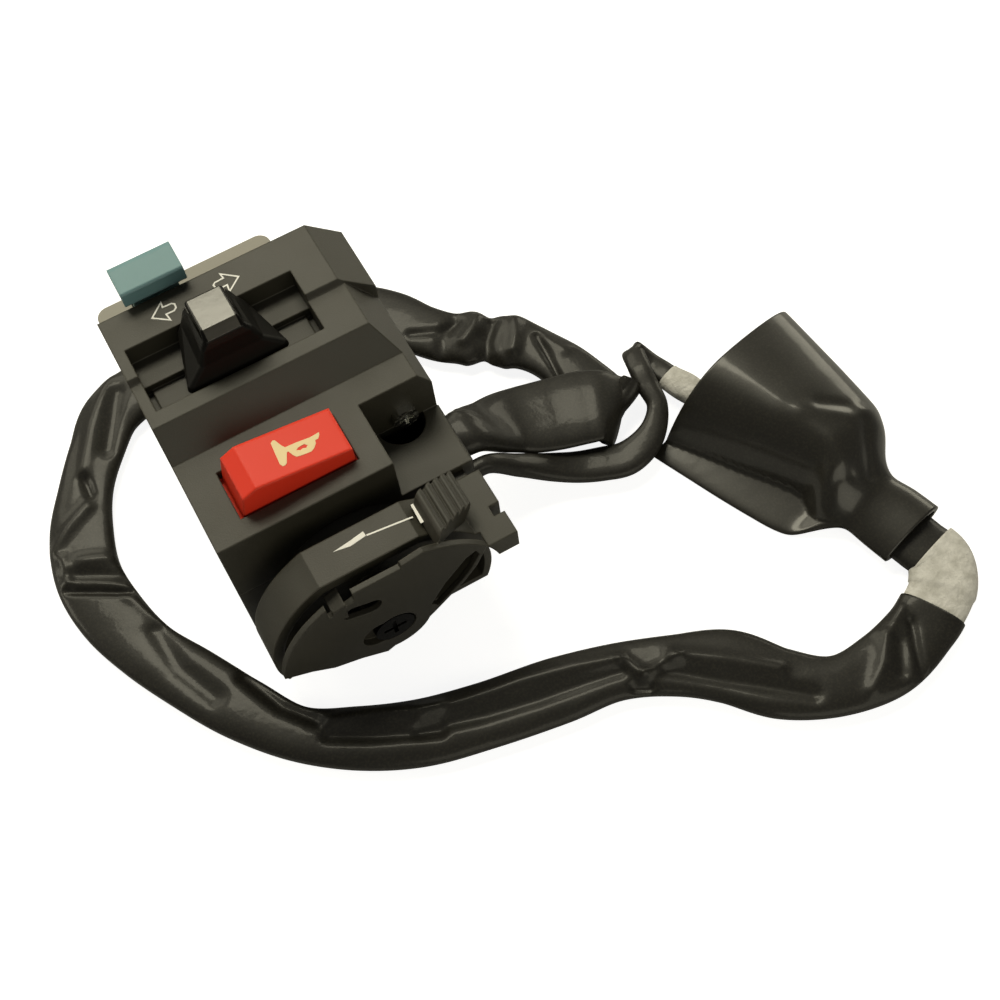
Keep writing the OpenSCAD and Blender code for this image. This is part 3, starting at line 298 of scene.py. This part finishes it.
def soft_wall(run, angle, half_w, half_t, seed, lump):
    """Offsets across and up of a slack tube: a flat oval, swollen by slow and quick lumps."""
    turn = angle / (2 * np.pi)
    slow = swell(run / 17, turn * 4 + 0.02 * run, seed, 4) - 0.5
    quick = swell(run / 7, turn * 7 - 0.03 * run, seed + 1, 7) - 0.5
    side = np.sign(np.cos(angle)) * np.abs(np.cos(angle)) ** 0.8
    top = np.sign(np.sin(angle)) * np.abs(np.sin(angle)) ** 0.85
    return (half_w * side * (1 + 0.06 * lump * slow),
            half_t * top * (1 + lump * (0.5 * slow + 0.25 * quick)))


def slack_tube(samples, run, sides, seed, lump, grow=0.0, folds=(), pinches=()):
    """Rings of the soft wall carried along the path, folded on top and pressed flat on the table."""
    p = samples[:, :3]
    along = unit(np.gradient(p, axis=0))
    wide = samples[:, 5:8]
    wide = unit(wide - along * np.sum(wide * along, 1, keepdims=True))
    lift = np.cross(wide, along)
    half_w = samples[:, 3:4] + grow
    half_t = samples[:, 4:5] + grow
    for x, y, reach, change in pinches:
        near = np.linalg.norm(p[:, :2] - (x, y), axis=1, keepdims=True)
        half_w = half_w + change * np.exp(-(near / reach) ** 2)
    run2, angle = np.meshgrid(run, np.linspace(0, 2 * np.pi, sides, endpoint=False), indexing="ij")
    across, upward = soft_wall(run2, angle, half_w, half_t, seed, lump)
    rings = p[:, None] + across[..., None] * wide[:, None] + upward[..., None] * lift[:, None]
    high = np.clip((rings[..., 2] - p[:, None, 2]) / half_t, 0, 1)
    rings[..., 2] += fold_height(rings[..., :2], folds) * np.sqrt(high)
    low = TABLE_Z + 0.05
    z = rings[..., 2]
    rings[..., 2] = np.where(z < low + 0.5, low + 0.5 * np.exp(np.minimum((z - low - 0.5) / 0.5, 0)), z)
    return rings


def ring_faces(n, m):
    """Quads between n rings of m points, with an end face on the first and the last ring."""
    i, k = np.meshgrid(np.arange(n - 1), np.arange(m), indexing="ij")
    k2 = (k + 1) % m
    quads = np.stack([i * m + k, i * m + k2, (i + 1) * m + k2, (i + 1) * m + k], -1).reshape(-1, 4)
    return quads.tolist() + [list(range(m - 1, -1, -1)), list(range((n - 1) * m, n * m))]


def fit(piece, material, body, node_name):
    """Finishes a piece: its material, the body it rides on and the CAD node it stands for."""
    piece.data.materials.append(material)
    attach(piece, body)
    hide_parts(node_name)


def soft_pvc(name, colour, roughness, ripple_mm, ior, skin):
    """Plasticised PVC, extruded: a dark sheen, dull where it was handled, under a thin glossier skin."""
    made = bpy.data.materials.new(name)
    tree = empty_tree(made)
    place = node(tree, "ShaderNodeTexCoord").outputs["Object"]
    smear = node(tree, "ShaderNodeTexNoise", Vector=place, Scale=1 / (14 * MM), Detail=3.0)
    dust = node(tree, "ShaderNodeTexNoise", Vector=place, Scale=1 / (0.5 * MM), Detail=2.0)
    ripple = node(tree, "ShaderNodeTexNoise", Vector=place, Scale=1 / (ripple_mm * MM), Detail=2.0)
    dark, light = linear(colour), linear("#4b483c")
    tone = node(tree, "ShaderNodeMapRange", Value=dust.outputs["Fac"], From_Min=0.45, From_Max=0.85,
                To_Max=0.25)
    paint = node(tree, "ShaderNodeMixRGB", Fac=tone.outputs["Result"], Color1=dark, Color2=light)
    dull = node(tree, "ShaderNodeMapRange", Value=smear.outputs["Fac"], To_Min=roughness - 0.08,
                To_Max=roughness + 0.12)
    bump = node(tree, "ShaderNodeBump", Height=ripple.outputs["Fac"], Strength=0.25, Distance=0.2 * MM)
    shader = node(tree, "ShaderNodeBsdfPrincipled", Base_Color=paint.outputs["Color"],
                  Roughness=dull.outputs["Result"], IOR=ior, Coat_Weight=skin, Coat_Roughness=0.14,
                  Coat_IOR=1.4, Normal=bump.outputs["Normal"], Coat_Normal=bump.outputs["Normal"])
    node(tree, "ShaderNodeOutputMaterial", Surface=shader.outputs[0])
    return made


sleeve_pvc = soft_pvc("sleeve_pvc", "#15130e", roughness=0.5, ripple_mm=2.2, ior=1.4, skin=0.25)
harness, harness_run, row_run = even_path(
    flat_frames(SLEEVE_ROUTE + TAPE_ROUTE + TAIL_ROUTE, SLEEVE_FOLD), RING_STEP)
sleeve_end, tape_end = (int(np.searchsorted(harness_run, row_run[k]))
                        for k in (len(SLEEVE_ROUTE) - 1, len(SLEEVE_ROUTE) + len(TAPE_ROUTE) - 1))
cuff_run = harness_run[:sleeve_end + 1]
cuff = CUFF_RISE * ease(cuff_run, cuff_run[-1] - CUFF_LENGTH, cuff_run[-1])[:, None]
rings = slack_tube(harness[:sleeve_end + 1], cuff_run, RING_SIDES, seed=3, lump=0.35, grow=cuff,
                   folds=SLEEVE_FOLDS, pinches=SLEEVE_PINCHES)
sleeve = new_object("main_sleeve_soft", rings, ring_faces(*rings.shape[:2]))
fit(sleeve, sleeve_pvc, "housing", "main_sleeve")

# Tape and tail: pale cloth tape wound under the wide sleeve's end, and the short bare sleeve that goes on
# from it into the boot.

WRAP_RISE, WRAP_LAP = 0.4, 0.3
TAIL_SIDES = 80
wrap_span = slice(sleeve_end - 4, tape_end + 5)
wrapped = np.linspace(0, 1, wrap_span.stop - wrap_span.start)[:, None]
wrap_rise = WRAP_RISE * wrapped + WRAP_LAP * ease(wrapped, 0.38, 0.43)
rings = slack_tube(harness[wrap_span], harness_run[wrap_span], RING_SIDES, seed=11, lump=0.3, grow=wrap_rise)
wrap = new_object("main_tape_wrap", rings, ring_faces(*rings.shape[:2]))
tape_cloth = bpy.data.materials.new("tape_cloth")
tree = empty_tree(tape_cloth)
place = node(tree, "ShaderNodeTexCoord").outputs["Object"]
dirt = node(tree, "ShaderNodeTexNoise", Vector=place, Scale=1 / (2.5 * MM), Detail=5.0)
crinkle = node(tree, "ShaderNodeTexNoise", Vector=place, Scale=1 / (1.1 * MM), Detail=4.0)
shade = node(tree, "ShaderNodeMapRange", Value=dirt.outputs["Fac"], From_Min=0.35, From_Max=0.62)
cloth = node(tree, "ShaderNodeMixRGB", Fac=shade.outputs["Result"], Color1=linear("#bebcb6"),
             Color2=linear("#dad8d4"))
folds = node(tree, "ShaderNodeBump", Height=crinkle.outputs["Fac"], Strength=0.7, Distance=0.5 * MM)
shader = node(tree, "ShaderNodeBsdfPrincipled", Base_Color=cloth.outputs["Color"], Roughness=0.7,
              Normal=folds.outputs["Normal"])
node(tree, "ShaderNodeOutputMaterial", Surface=shader.outputs[0])
fit(wrap, tape_cloth, "housing", "main_tape")

rings = slack_tube(harness[tape_end - 2:], harness_run[tape_end - 2:], TAIL_SIDES, seed=5, lump=0.3)
tail = new_object("tail_sleeve_soft", rings, ring_faces(*rings.shape[:2]))
fit(tail, sleeve_pvc, "housing", "tail_sleeve")

# Branch: a thin flat sleeve for the two horn wires. It runs beside the wide one, folds over by the boot
# and goes into the boot's mouth under its own bit of tape.

BRANCH_ROUTE = [
    [EXIT_X, -34.2, -5, 1.8, 2.2], [EXIT_X + 3.2, -34.2, -5, 1.9, 2], [38, -35.4, -10, 2.7, 1.8],
    [44.4, -37.5, -13.6, 3.4, 1.6], [50, -39.8, -15.2, 3.8, 1.5], [55, -41.7, -15.5, 4.1, 1.5],
    [60, -43.2, -15.5, 4.1, 1.5], [65.6, -42.2, -15, 3.5, 1.5], [69.8, -39.4, -14.4, 2.7, 1.5],
    [72.3, -35.8, -13.8, 2.3, 1.5], [72.8, -31, -13.2, 2.5, 1.4], [73.6, -26, -12.8, 2.6, 1.3],
    [75, -21.4, -14.2, 2.6, 1.2],
    [77.2, -25, -16.2, 2.7, 1.4], [78.2, -28, -16.2, 2.9, 1.6], [79, -30.3, -16.2, 2.9, 1.8]]
PLUG_X, PLUG_Y, PLUG_Z = -2.5, 43.5, -14.1
BRANCH_TAPE = [[80.3, -34, -15.6, 3.2, 2.1], [82.4, -39.5, -15, 2.8, 2],
               [*in_boot(PLUG_X, PLUG_Y + 3), PLUG_Z, 2.4, 1.8],
               [*in_boot(PLUG_X, PLUG_Y + 0.05), PLUG_Z, 2.4, 1.8]]
BRANCH_FOLD = 12
BRANCH_WIDTH, BRANCH_STEP, BRANCH_SIDES = 6.6, 0.3, 48

thin, thin_run, thin_rows = even_path(flat_frames(BRANCH_ROUTE + BRANCH_TAPE, BRANCH_FOLD), BRANCH_STEP)
branch_end = int(np.searchsorted(thin_run, thin_rows[len(BRANCH_ROUTE) - 1]))
rings = slack_tube(thin[:branch_end + 1], thin_run[:branch_end + 1], BRANCH_SIDES, seed=21, lump=0.5)
branch = new_object("branch_sleeve_soft", rings, ring_faces(*rings.shape[:2]))
fit(branch, sleeve_pvc, "housing", "branch_sleeve")
rings = slack_tube(thin[branch_end - 3:], thin_run[branch_end - 3:], BRANCH_SIDES, seed=25, lump=0.3,
                   grow=0.2)
branch_wrap = new_object("branch_tape_wrap", rings, ring_faces(*rings.shape[:2]))
fit(branch_wrap, tape_cloth, "housing", "branch_tape")

# Connector boot: dip-moulded soft PVC, two sheets that meet in a flat seam at each side. A dome stands over
# the connectors, a flat skirt runs along the left, and a narrow collar holds the sleeve's end.

BOOT_LENGTH, BOOT_WIDTH, BOOT_HEIGHT = 53.4, 44.4, 16.0
BOOT_WALL, BOOT_LIP, BOOT_FILLET, COLLAR_TILT = 1.3, 0.9, 0.4, 0.1
COLLAR_OPEN, MOUTH_END = 4.0, 21.0
BOOT_HALF_RING, COLLAR_ROWS, BOOT_ROWS, MOUTH_ROWS = 96, 12, 130, 50
BOOT_SMOOTH = 1.8
# Each row: share of the length, left and right seam as shares of the width, right seam's and top's height as
# shares of the height, how far the oval has become a dome, and the dome's foot and crest across the boot.
BOOT_FORM = np.array([
    [0, -0.189, 0.189, 0.25, 0.5, 0, -1, -0.1], [0.12, -0.189, 0.185, 0.25, 0.5, 0, -1, -0.1],
    [0.215, -0.18, 0.158, 0.26, 0.52, 0.1, -0.95, -0.1], [0.28, -0.259, 0.198, 0.3, 0.63, 0.6, -0.85, -0.05],
    [0.345, -0.365, 0.302, 0.34, 0.81, 1, -0.6, 0.05], [0.43, -0.4, 0.368, 0.38, 0.94, 1, -0.43, 0.15],
    [0.55, -0.426, 0.392, 0.41, 0.97, 1, -0.5, 0.12], [0.675, -0.45, 0.415, 0.44, 1, 1, -0.6, 0.05],
    [0.84, -0.476, 0.444, 0.47, 1, 1, -0.7, 0.02], [1, -0.502, 0.472, 0.5, 1, 1, -0.8, 0]])
BOOT_FOLDS = [
    (-0.45, 1.5, [(5.2, 31.0), (9.4, 26.6)]), (0.35, 1.4, [(10.6, 25.7), (13.3, 22.5), (13.1, 19.6)]),
    (0.3, 2.0, [(1.4, 32.6), (7.0, 26.3), (11.6, 21.1), (12.2, 18.9)]),
    (-0.6, 1.2, [(9.5, 22.2), (6.5, 19.0), (2.5, 13.9)]),
    (-0.4, 1.2, [(-7.9, 17.1), (-4.2, 17.8), (-1.4, 16.5)])]


def boot_row(y):
    """Each measure of the form at places along the boot: straight from row to row, smoothed by a bell."""
    margin, reach = 6, 60
    fine = np.linspace(-margin, BOOT_LENGTH + margin, 600)
    bell = np.exp(-(np.arange(-reach, reach + 1) * (fine[1] - fine[0]) / BOOT_SMOOTH) ** 2)
    measures = []
    for column in BOOT_FORM.T[1:]:
        straight = np.interp(np.clip(fine, 0, BOOT_LENGTH), BOOT_FORM[:, 0] * BOOT_LENGTH, column)
        padded = np.pad(straight, reach, mode="edge")
        measures.append(np.interp(y, fine, np.convolve(padded, bell / bell.sum(), "valid"))[:, None])
    return measures


def boot_sheets(y, u):
    """Heights of the upper and lower sheet at a place along (y) and across (u, -1 left to 1 right)."""
    left, right, seam, height, share, foot, crest = boot_row(y)
    x = (left + right + u * (right - left)) / 2 * BOOT_WIDTH
    seam, height = seam * BOOT_HEIGHT, height * BOOT_HEIGHT
    oval = np.sqrt(np.clip(1 - u ** 2, 0, 1))
    rim = seam * ease(u, -0.9, 1.0) + BOOT_LIP * np.sqrt(np.clip(1 - u ** 8, 0, 1))
    climb = np.clip((u - foot) / (crest - foot), 0, 1)
    climb = climb ** 2 * (1 + BOOT_FILLET) / (climb + BOOT_FILLET)
    dome = np.sqrt(1 - (1 - climb) ** 2) * np.sqrt(np.clip(1 - np.maximum(u, 0) ** 2, 0, 1))
    tube = height / 2 * (1 + oval) * (1 + COLLAR_TILT * (u - 1))
    upper = (1 - share) * tube + share * (rim + (height - rim) * dome)
    lower = (1 - share) * height / 2 * (1 - oval) + share * seam * ease(u, 0.86, 1.0)
    soft = fold_height(np.stack([x, np.broadcast_to(y[:, None], x.shape)], -1), BOOT_FOLDS)
    return x, upper + soft * oval, lower


def boot_rings(y, inset):
    """Closed rings over the upper sheet and back along the lower one; inset gives the inside."""
    u = -np.cos(np.linspace(0, np.pi, BOOT_HALF_RING))[None, :]
    x, upper, lower = boot_sheets(y, u)
    if inset:
        middle = (upper + lower) / 2
        upper = np.maximum(upper - inset, middle + 0.01)
        lower = np.minimum(lower + inset, middle - 0.01)
        x = x - inset * u ** 9
    y2 = np.repeat(y[:, None], BOOT_HALF_RING, 1)
    over = np.stack([x, y2, upper], -1)
    under = np.stack([x, y2, lower], -1)[:, ::-1]
    return np.concatenate([over, under[:, 1:-1]], 1)


collar = boot_rings(np.linspace(COLLAR_OPEN, 0, COLLAR_ROWS), BOOT_WALL)
outside = boot_rings(np.linspace(0, BOOT_LENGTH, BOOT_ROWS), 0.0)
inside = boot_rings(np.linspace(BOOT_LENGTH, MOUTH_END, MOUTH_ROWS), BOOT_WALL)
rings = np.concatenate([collar, outside, inside])[:, ::-1]
rings = np.stack([*in_boot(rings[..., 0], rings[..., 1]), rings[..., 2] + TABLE_Z], -1)
boot = new_object("boot_soft", rings, ring_faces(*rings.shape[:2]))
boot_pvc = soft_pvc("boot_pvc", "#1d1b15", roughness=0.4, ripple_mm=5.0, ior=1.45, skin=0.6)
fit(boot, boot_pvc, "housing", "connector_boot")

# Housing: two halves moulded in black glass-filled nylon, with a fine spark grain that greys in the light.
# The edges are slightly rounded, so they catch a thin line of light, and they are painted paler as well: a
# painted highlight, with some rubbed wear.


def moulded(name, colour, pale_and_edge_highlight, roughness, grain_mm, grain, edge_mm, ior=1.5):
    """Moulded plastic: spark-eroded grain, tone that drifts, and edges rounded and painted paler, partly
    rubbed wear and partly a painted highlight.
    """
    made = bpy.data.materials.new(name)
    tree = empty_tree(made)
    place = node(tree, "ShaderNodeTexCoord").outputs["Object"]
    drift = node(tree, "ShaderNodeTexNoise", Vector=place, Scale=1 / (9 * MM), Detail=4.0)
    spark = node(tree, "ShaderNodeTexNoise", Vector=place, Scale=1 / (grain_mm * MM), Detail=3.0)
    edge = node(tree, "ShaderNodeBevel", samples=8, Radius=edge_mm * MM)
    bare = node(tree, "ShaderNodeNewGeometry")
    turned = node(tree, "ShaderNodeVectorMath", operation="DOT_PRODUCT", in0=edge.outputs[0],
                  in1=bare.outputs["Normal"])
    # Painted highlight, partly wear: where the rounded normal turns from the flat one, the edges are painted
    # towards the pale colour.
    edge_wear_and_highlight = node(tree, "ShaderNodeMapRange", Value=turned.outputs["Value"], From_Min=0.99, From_Max=0.8,
                  To_Max=0.6)
    tone = node(tree, "ShaderNodeMapRange", Value=drift.outputs["Fac"], To_Min=0.0, To_Max=0.22)
    # The pale colour carries both the random drift of tone and the painted edge highlight.
    tone_and_edge_highlight = node(tree, "ShaderNodeMath", operation="MAXIMUM", in0=tone.outputs["Result"],
                in1=edge_wear_and_highlight.outputs["Result"])
    paint = node(tree, "ShaderNodeMixRGB", Fac=tone_and_edge_highlight.outputs[0], Color1=linear(colour), Color2=linear(pale_and_edge_highlight))
    dull = node(tree, "ShaderNodeMapRange", Value=drift.outputs["Fac"], To_Min=roughness - 0.05,
                To_Max=roughness + 0.05)
    bump = node(tree, "ShaderNodeBump", Height=spark.outputs["Fac"], Strength=grain, Distance=0.1 * MM,
                Normal=edge.outputs[0])
    shader = node(tree, "ShaderNodeBsdfPrincipled", Base_Color=paint.outputs["Color"],
                  Roughness=dull.outputs["Result"], IOR=ior, Normal=bump.outputs["Normal"])
    node(tree, "ShaderNodeOutputMaterial", Surface=shader.outputs[0])
    return made


def dress(material, *names):
    """Puts a material on CAD nodes that keep their own shape."""
    for name in names:
        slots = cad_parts[name].data.materials
        slots.clear()
        slots.append(material)


black_nylon = moulded("black_nylon", "#2a2820", "#4d4a3d", roughness=0.52,
                      grain_mm=0.35, grain=0.3, edge_mm=0.5)
dress(black_nylon, "front_housing", "rear_housing", "choke_drum")

# Drum floor: the moulded wall that closes the choke drum's hollow below and at the right, from the end of the
# guard round to the flat. It is set into the drum's back plate. It is also painted shade: the card glows
# white to the camera even in shadow, so this dark wall stands where the hollow's shade is.

DRUM_X, DRUM_Z = -2.3, -6.0
FLOOR_R, FLOOR_T, FLOOR_DROP, FLOOR_LEFT = 24.5, 1.6, 8.95, -21.0
FLOOR_Y = (-52.6, -45.0)
arc = np.radians(np.linspace(14, -21, 12))
circle = np.column_stack([np.cos(arc), np.sin(arc)])
outer = np.vstack([circle * FLOOR_R, [(FLOOR_LEFT, -FLOOR_DROP)]])
inner = np.vstack([circle * (FLOOR_R - FLOOR_T), [(FLOOR_LEFT, -FLOOR_DROP)]])
outer[:, 1] = np.maximum(outer[:, 1], -FLOOR_DROP)
inner[:, 1] = np.maximum(inner[:, 1], FLOOR_T - FLOOR_DROP)
near, far = FLOOR_Y
walls = np.stack([np.column_stack([DRUM_X + edge[:, 0], np.full(len(edge), y), DRUM_Z + edge[:, 1]])
                  for edge, y in ((inner, near), (inner, far), (outer, far), (outer, near))], 1)
drum_shade_floor = new_object("drum_shade_floor", walls, ring_faces(*walls.shape[:2]), smooth=False)
drum_shade_floor.data.materials.append(black_nylon)
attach(drum_shade_floor, "housing")

# Turn arrows: white pad print beside the slot, an outline arrow each way.

PRINT_RAISE, PRINT_DEEP = 0.05, 0.1
FACE_Z = 27.0
ARROW_LINE = 0.36
ARROW = [(-16.7, 13.4), (-13.7, 16.0), (-13.85, 14.7), (-11.9, 14.6), (-11.4, 14.2), (-11.5, 13.2),
         (-12.1, 12.7), (-13.85, 12.75), (-13.65, 11.0)]
ARROW_MIDDLE = -7.05


def ribbon(points, widths, closed):
    """Left and right edges of a line with the given widths, mitred at its corners."""
    p = np.array(points, float)
    before = np.roll(p, 1, 0) if closed else np.vstack([2 * p[0] - p[1], p[:-1]])
    after = np.roll(p, -1, 0) if closed else np.vstack([p[1:], 2 * p[-1] - p[-2]])
    come, go = unit(p - before), unit(after - p)
    mean = unit(come + go)
    side = np.stack([-mean[:, 1], mean[:, 0]], 1) / np.maximum(np.sum(mean * come, 1, keepdims=True), 0.45)
    half = np.broadcast_to(np.asarray(widths, float) / 2, len(p))[:, None]
    return np.concatenate([p + side * half, p - side * half])


def printed(name, flat, faces, surface, body, material):
    """A thin skin: a flat shape laid on a surface, raised a little and sunk a little into the plastic."""
    made = new_object(name, surface(np.asarray(flat, float)), faces, smooth=False)
    made.data.materials.append(material)
    skin = made.modifiers.new("ink", "SOLIDIFY")
    skin.thickness = PRINT_DEEP * MM
    skin.offset = -1
    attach(made, body)
    return made


def line_faces(n, closed):
    """Quads along a ribbon of n points."""
    return [(i, n + i, n + (i + 1) % n, (i + 1) % n) for i in range(n if closed else n - 1)]


def on_face(q):
    """Flat places to points just above the face."""
    return np.column_stack([q, np.full(len(q), FACE_Z + PRINT_RAISE)])


white_ink = moulded("white_ink", "#faf9f5", "#ffffff", roughness=0.5, grain_mm=0.3, grain=0.2, edge_mm=0.1)
for name, way in (("arrow_left", 1), ("arrow_right", -1)):
    tip = [(ARROW_MIDDLE + way * (x - ARROW_MIDDLE), y) for x, y in ARROW][::way]
    printed(name, ribbon(tip, ARROW_LINE, True), line_faces(len(tip), True), on_face, "housing", white_ink)

# Turn knob: black ABS, dull on its flanks, with a crown that the thumb has polished to a mirror. The crown's
# skin is laid on the CAD knob. The skin is painted a lighter grey than the flanks, a painted sheen on top of
# its low roughness.

KNOB_X, CROWN_HALF = -6.15, 3.5
CROWN_Z, FLANK_Z = 35.0, 32.0
# Places y, z along the crown from its far edge down the front bevel.
CROWN_LINE = [(6.3, 36.0), (-1.5, 36.0), (-2.1, 35.6), (-3.4, 34.58)]

knob_abs = moulded("knob_abs", "#0e0d0b", "#191813", roughness=0.45,
                   grain_mm=2.2, grain=0.1, edge_mm=0.5, ior=1.42)
tree = knob_abs.node_tree
height = node(tree, "ShaderNodeSeparateXYZ", Vector=node(tree, "ShaderNodeTexCoord").outputs["Object"])
polish = node(tree, "ShaderNodeMapRange", Value=height.outputs["Z"], From_Min=FLANK_Z * MM,
              From_Max=CROWN_Z * MM, To_Min=0.5, To_Max=0.14)
plastic = tree.nodes["Principled BSDF"].inputs
tree.links.new(polish.outputs["Result"], plastic["Roughness"])
plastic["Specular IOR Level"].default_value = 0.2
dress(knob_abs, "turn_knob")


def on_crown(q):
    """Places across the crown and along its line to points just above it."""
    line = np.array(CROWN_LINE)
    step = np.arange(len(line))
    return np.column_stack([KNOB_X + q[:, 0], np.interp(q[:, 1], step, line[:, 0]),
                            np.interp(q[:, 1], step, line[:, 1]) + PRINT_RAISE])


# Painted sheen: a lighter grey copy of the knob's black ABS, laid on the crown.
crown_sheen_abs = moulded("crown_sheen_abs", "#3a3832", "#57544b", roughness=0.2,
                     grain_mm=3.0, grain=0.25, edge_mm=0.1, ior=1.65)
crown = [(x, k) for x in (-CROWN_HALF, CROWN_HALF) for k in range(len(CROWN_LINE))]
printed("knob_crown", crown, line_faces(len(CROWN_LINE), False), on_crown, "turn_knob", crown_sheen_abs)

# Horn button: a red wedge, moulded in gloss ABS, with a cream horn printed on its slope.

HORN_LOW, HORN_EDGE, HORN_RISE = 23.1, 5.2, 3.0 / 20.0
HORN = [(-8.13, -24.42), (-7.6, -24.0), (-7.19, -24.11), (-6.54, -25.83), (-6.08, -26.5), (-3.61, -26.42),
        (-0.89, -26.55), (1.14, -26.2), (0.98, -26.76), (0.43, -27.5), (-0.31, -27.6), (-0.48, -28.31),
        (-1.19, -29.14), (-1.98, -29.63), (-3.9, -29.64), (-5.02, -29.47), (-5.52, -28.82), (-5.92, -27.63),
        (-6.29, -27.74), (-7.31, -29.97), (-7.79, -30.31), (-8.31, -30.24), (-8.58, -29.62), (-8.4, -27.2)]
HORN_EYE = [(-4.52, -28.04), (-3.77, -27.63), (-2.5, -27.48), (-2.07, -28.0), (-2.55, -28.42), (-3.13, -28.2),
            (-3.74, -28.44)]


def filled(outlines):
    """Points and faces of a flat shape with holes, filled by a flat curve."""
    curve = bpy.data.curves.new("shape", "CURVE")
    curve.dimensions = "2D"
    curve.fill_mode = "BOTH"
    for outline in outlines:
        spline = curve.splines.new("POLY")
        spline.points.add(len(outline) - 1)
        spline.points.foreach_set("co", [c for x, y in outline for c in (x, y, 0, 1)])
        spline.use_cyclic_u = True
    holder = bpy.data.objects.new("shape", curve)
    mesh = bpy.data.meshes.new_from_object(holder)
    points = np.array([v.co[:2] for v in mesh.vertices])
    faces = [tuple(f.vertices) for f in mesh.polygons]
    bpy.data.objects.remove(holder)
    bpy.data.curves.remove(curve)
    bpy.data.meshes.remove(mesh)
    return points, faces


def on_horn(q):
    """Flat places to points just above the button's slope."""
    return np.column_stack([q, HORN_LOW + (HORN_EDGE - q[:, 0]) * HORN_RISE + PRINT_RAISE])


dress(moulded("red_abs", "#ee3720", "#f2523d", roughness=0.42,
              grain_mm=0.8, grain=0.06, edge_mm=1.0, ior=1.33),
      "horn_button")
cream_ink = moulded("cream_ink", "#f6dca4", "#fff0cc", roughness=0.5, grain_mm=0.3, grain=0.15, edge_mm=0.1)
printed("horn_sign", *filled([HORN, HORN_EYE]), on_horn, "horn", cream_ink)

# Pass lever: grey-teal acetal, on a pin in a pale grey die-cast block behind the top edge.

dress(moulded("teal_acetal", "#678d94", "#a3c4c8", roughness=0.42,
              grain_mm=0.6, grain=0.08, edge_mm=0.6, ior=1.4),
      "pass_lever")
dress(moulded("grey_casting", "#8b877c", "#bebbb1", roughness=0.5, grain_mm=1.2, grain=0.5, edge_mm=0.4),
      "pass_block")

# Choke lever: black nylon with a ribbed tab, and a white arrow printed on the guard above it.

GUARD_Z = 16.4
CHOKE_HEAD = [(-7.4, -47.11), (-3.89, -47.75), (-0.32, -47.27), (-0.43, -46.12), (-3.79, -46.68)]
CHOKE_SHAFT = [(9.32, -48.35), (-0.22, -47.24)]
CHOKE_BAR = [(10.51, -45.81), (10.38, -50.38)]
SHAFT_LINE, BAR_LINE = 0.35, 0.8


def on_guard(q):
    """Flat places to points just above the guard's flat top."""
    return np.column_stack([q, np.full(len(q), GUARD_Z + PRINT_RAISE)])


dress(moulded("lever_nylon", "#26241d", "#4a473b", roughness=0.52, grain_mm=0.35, grain=0.3, edge_mm=0.4),
      "choke_lever")
printed("choke_head", CHOKE_HEAD, [tuple(range(len(CHOKE_HEAD)))], on_guard, "housing", white_ink)
printed("choke_shaft", ribbon(CHOKE_SHAFT, SHAFT_LINE, False), line_faces(2, False), on_guard, "housing",
        white_ink)
printed("choke_bar", ribbon(CHOKE_BAR, BAR_LINE, False), line_faces(2, False), on_guard, "housing", white_ink)

# Grommet: black rubber where both sleeves leave the housing.

dress(moulded("grommet_rubber", "#1e1d1a", "#34322c", roughness=0.62, grain_mm=0.4, grain=0.3, edge_mm=0.3),
      "harness_grommet")

# Screws, pins and springs: steel, zinc plated, the lock screw's head burred by the driver and the pivot's
# blackened. Inner contacts: stamped brass. Boards and carrier: pressed board and natural nylon. All but the
# lock screw and the pivot are hidden in the closed housing.


def plated(name, colour, roughness, streak_mm, dent=0.1):
    """Bright metal with fine streaks from drawing or stamping."""
    made = bpy.data.materials.new(name)
    tree = empty_tree(made)
    place = node(tree, "ShaderNodeTexCoord").outputs["Object"]
    long = node(tree, "ShaderNodeMapping", Vector=place, Scale=(1.0, 0.2, 1.0))
    streak = node(tree, "ShaderNodeTexNoise", Vector=long.outputs[0], Scale=1 / (streak_mm * MM), Detail=4.0)
    stain = node(tree, "ShaderNodeMapRange", Value=streak.outputs["Fac"], To_Min=0.7, To_Max=1.0)
    paint = node(tree, "ShaderNodeMixRGB", blend_type="MULTIPLY", Fac=1.0, Color1=linear(colour),
                 Color2=stain.outputs["Result"])
    dull = node(tree, "ShaderNodeMapRange", Value=streak.outputs["Fac"], To_Min=roughness - 0.08,
                To_Max=roughness + 0.1)
    bump = node(tree, "ShaderNodeBump", Height=streak.outputs["Fac"], Strength=dent, Distance=dent * 0.5 * MM)
    shader = node(tree, "ShaderNodeBsdfPrincipled", Base_Color=paint.outputs["Color"], Metallic=1.0,
                  Roughness=dull.outputs["Result"], Normal=bump.outputs["Normal"])
    node(tree, "ShaderNodeOutputMaterial", Surface=shader.outputs[0])
    return made


dress(plated("zinc_steel", "#b9b8b2", roughness=0.3, streak_mm=0.4),
      "housing_screws", "cancel_spring", "detent_ball",
      "detent_spring", "horn_spring", "pass_pin", "pass_spring")
dress(plated("burred_zinc", "#e4e4de", roughness=0.2, streak_mm=1.2, dent=1.0), "lock_screw")
dress(plated("black_oxide", "#1b1a17", roughness=0.5, streak_mm=0.4), "choke_pivot_screw", "choke_washer")
dress(plated("stamped_brass", "#c39a50", roughness=0.3, streak_mm=0.5),
      "turn_contacts", "turn_wiper", "horn_bridge", "horn_contacts",
      "pass_contacts", "main_terminals", "branch_terminals")
dress(moulded("pressed_board", "#6b4326", "#8a5c38", roughness=0.5, grain_mm=0.5, grain=0.2, edge_mm=0.2),
      "turn_base", "horn_base")
dress(moulded("natural_nylon", "#8d897a", "#aaa695", roughness=0.45, grain_mm=0.5, grain=0.1, edge_mm=0.3),
      "turn_carrier")

# Connectors: natural nylon sockets inside the boot.

dress(moulded("socket_nylon", "#d6d1bf", "#e6e2d4", roughness=0.42, grain_mm=0.6, grain=0.08, edge_mm=0.3),
      "main_connector", "branch_connector")
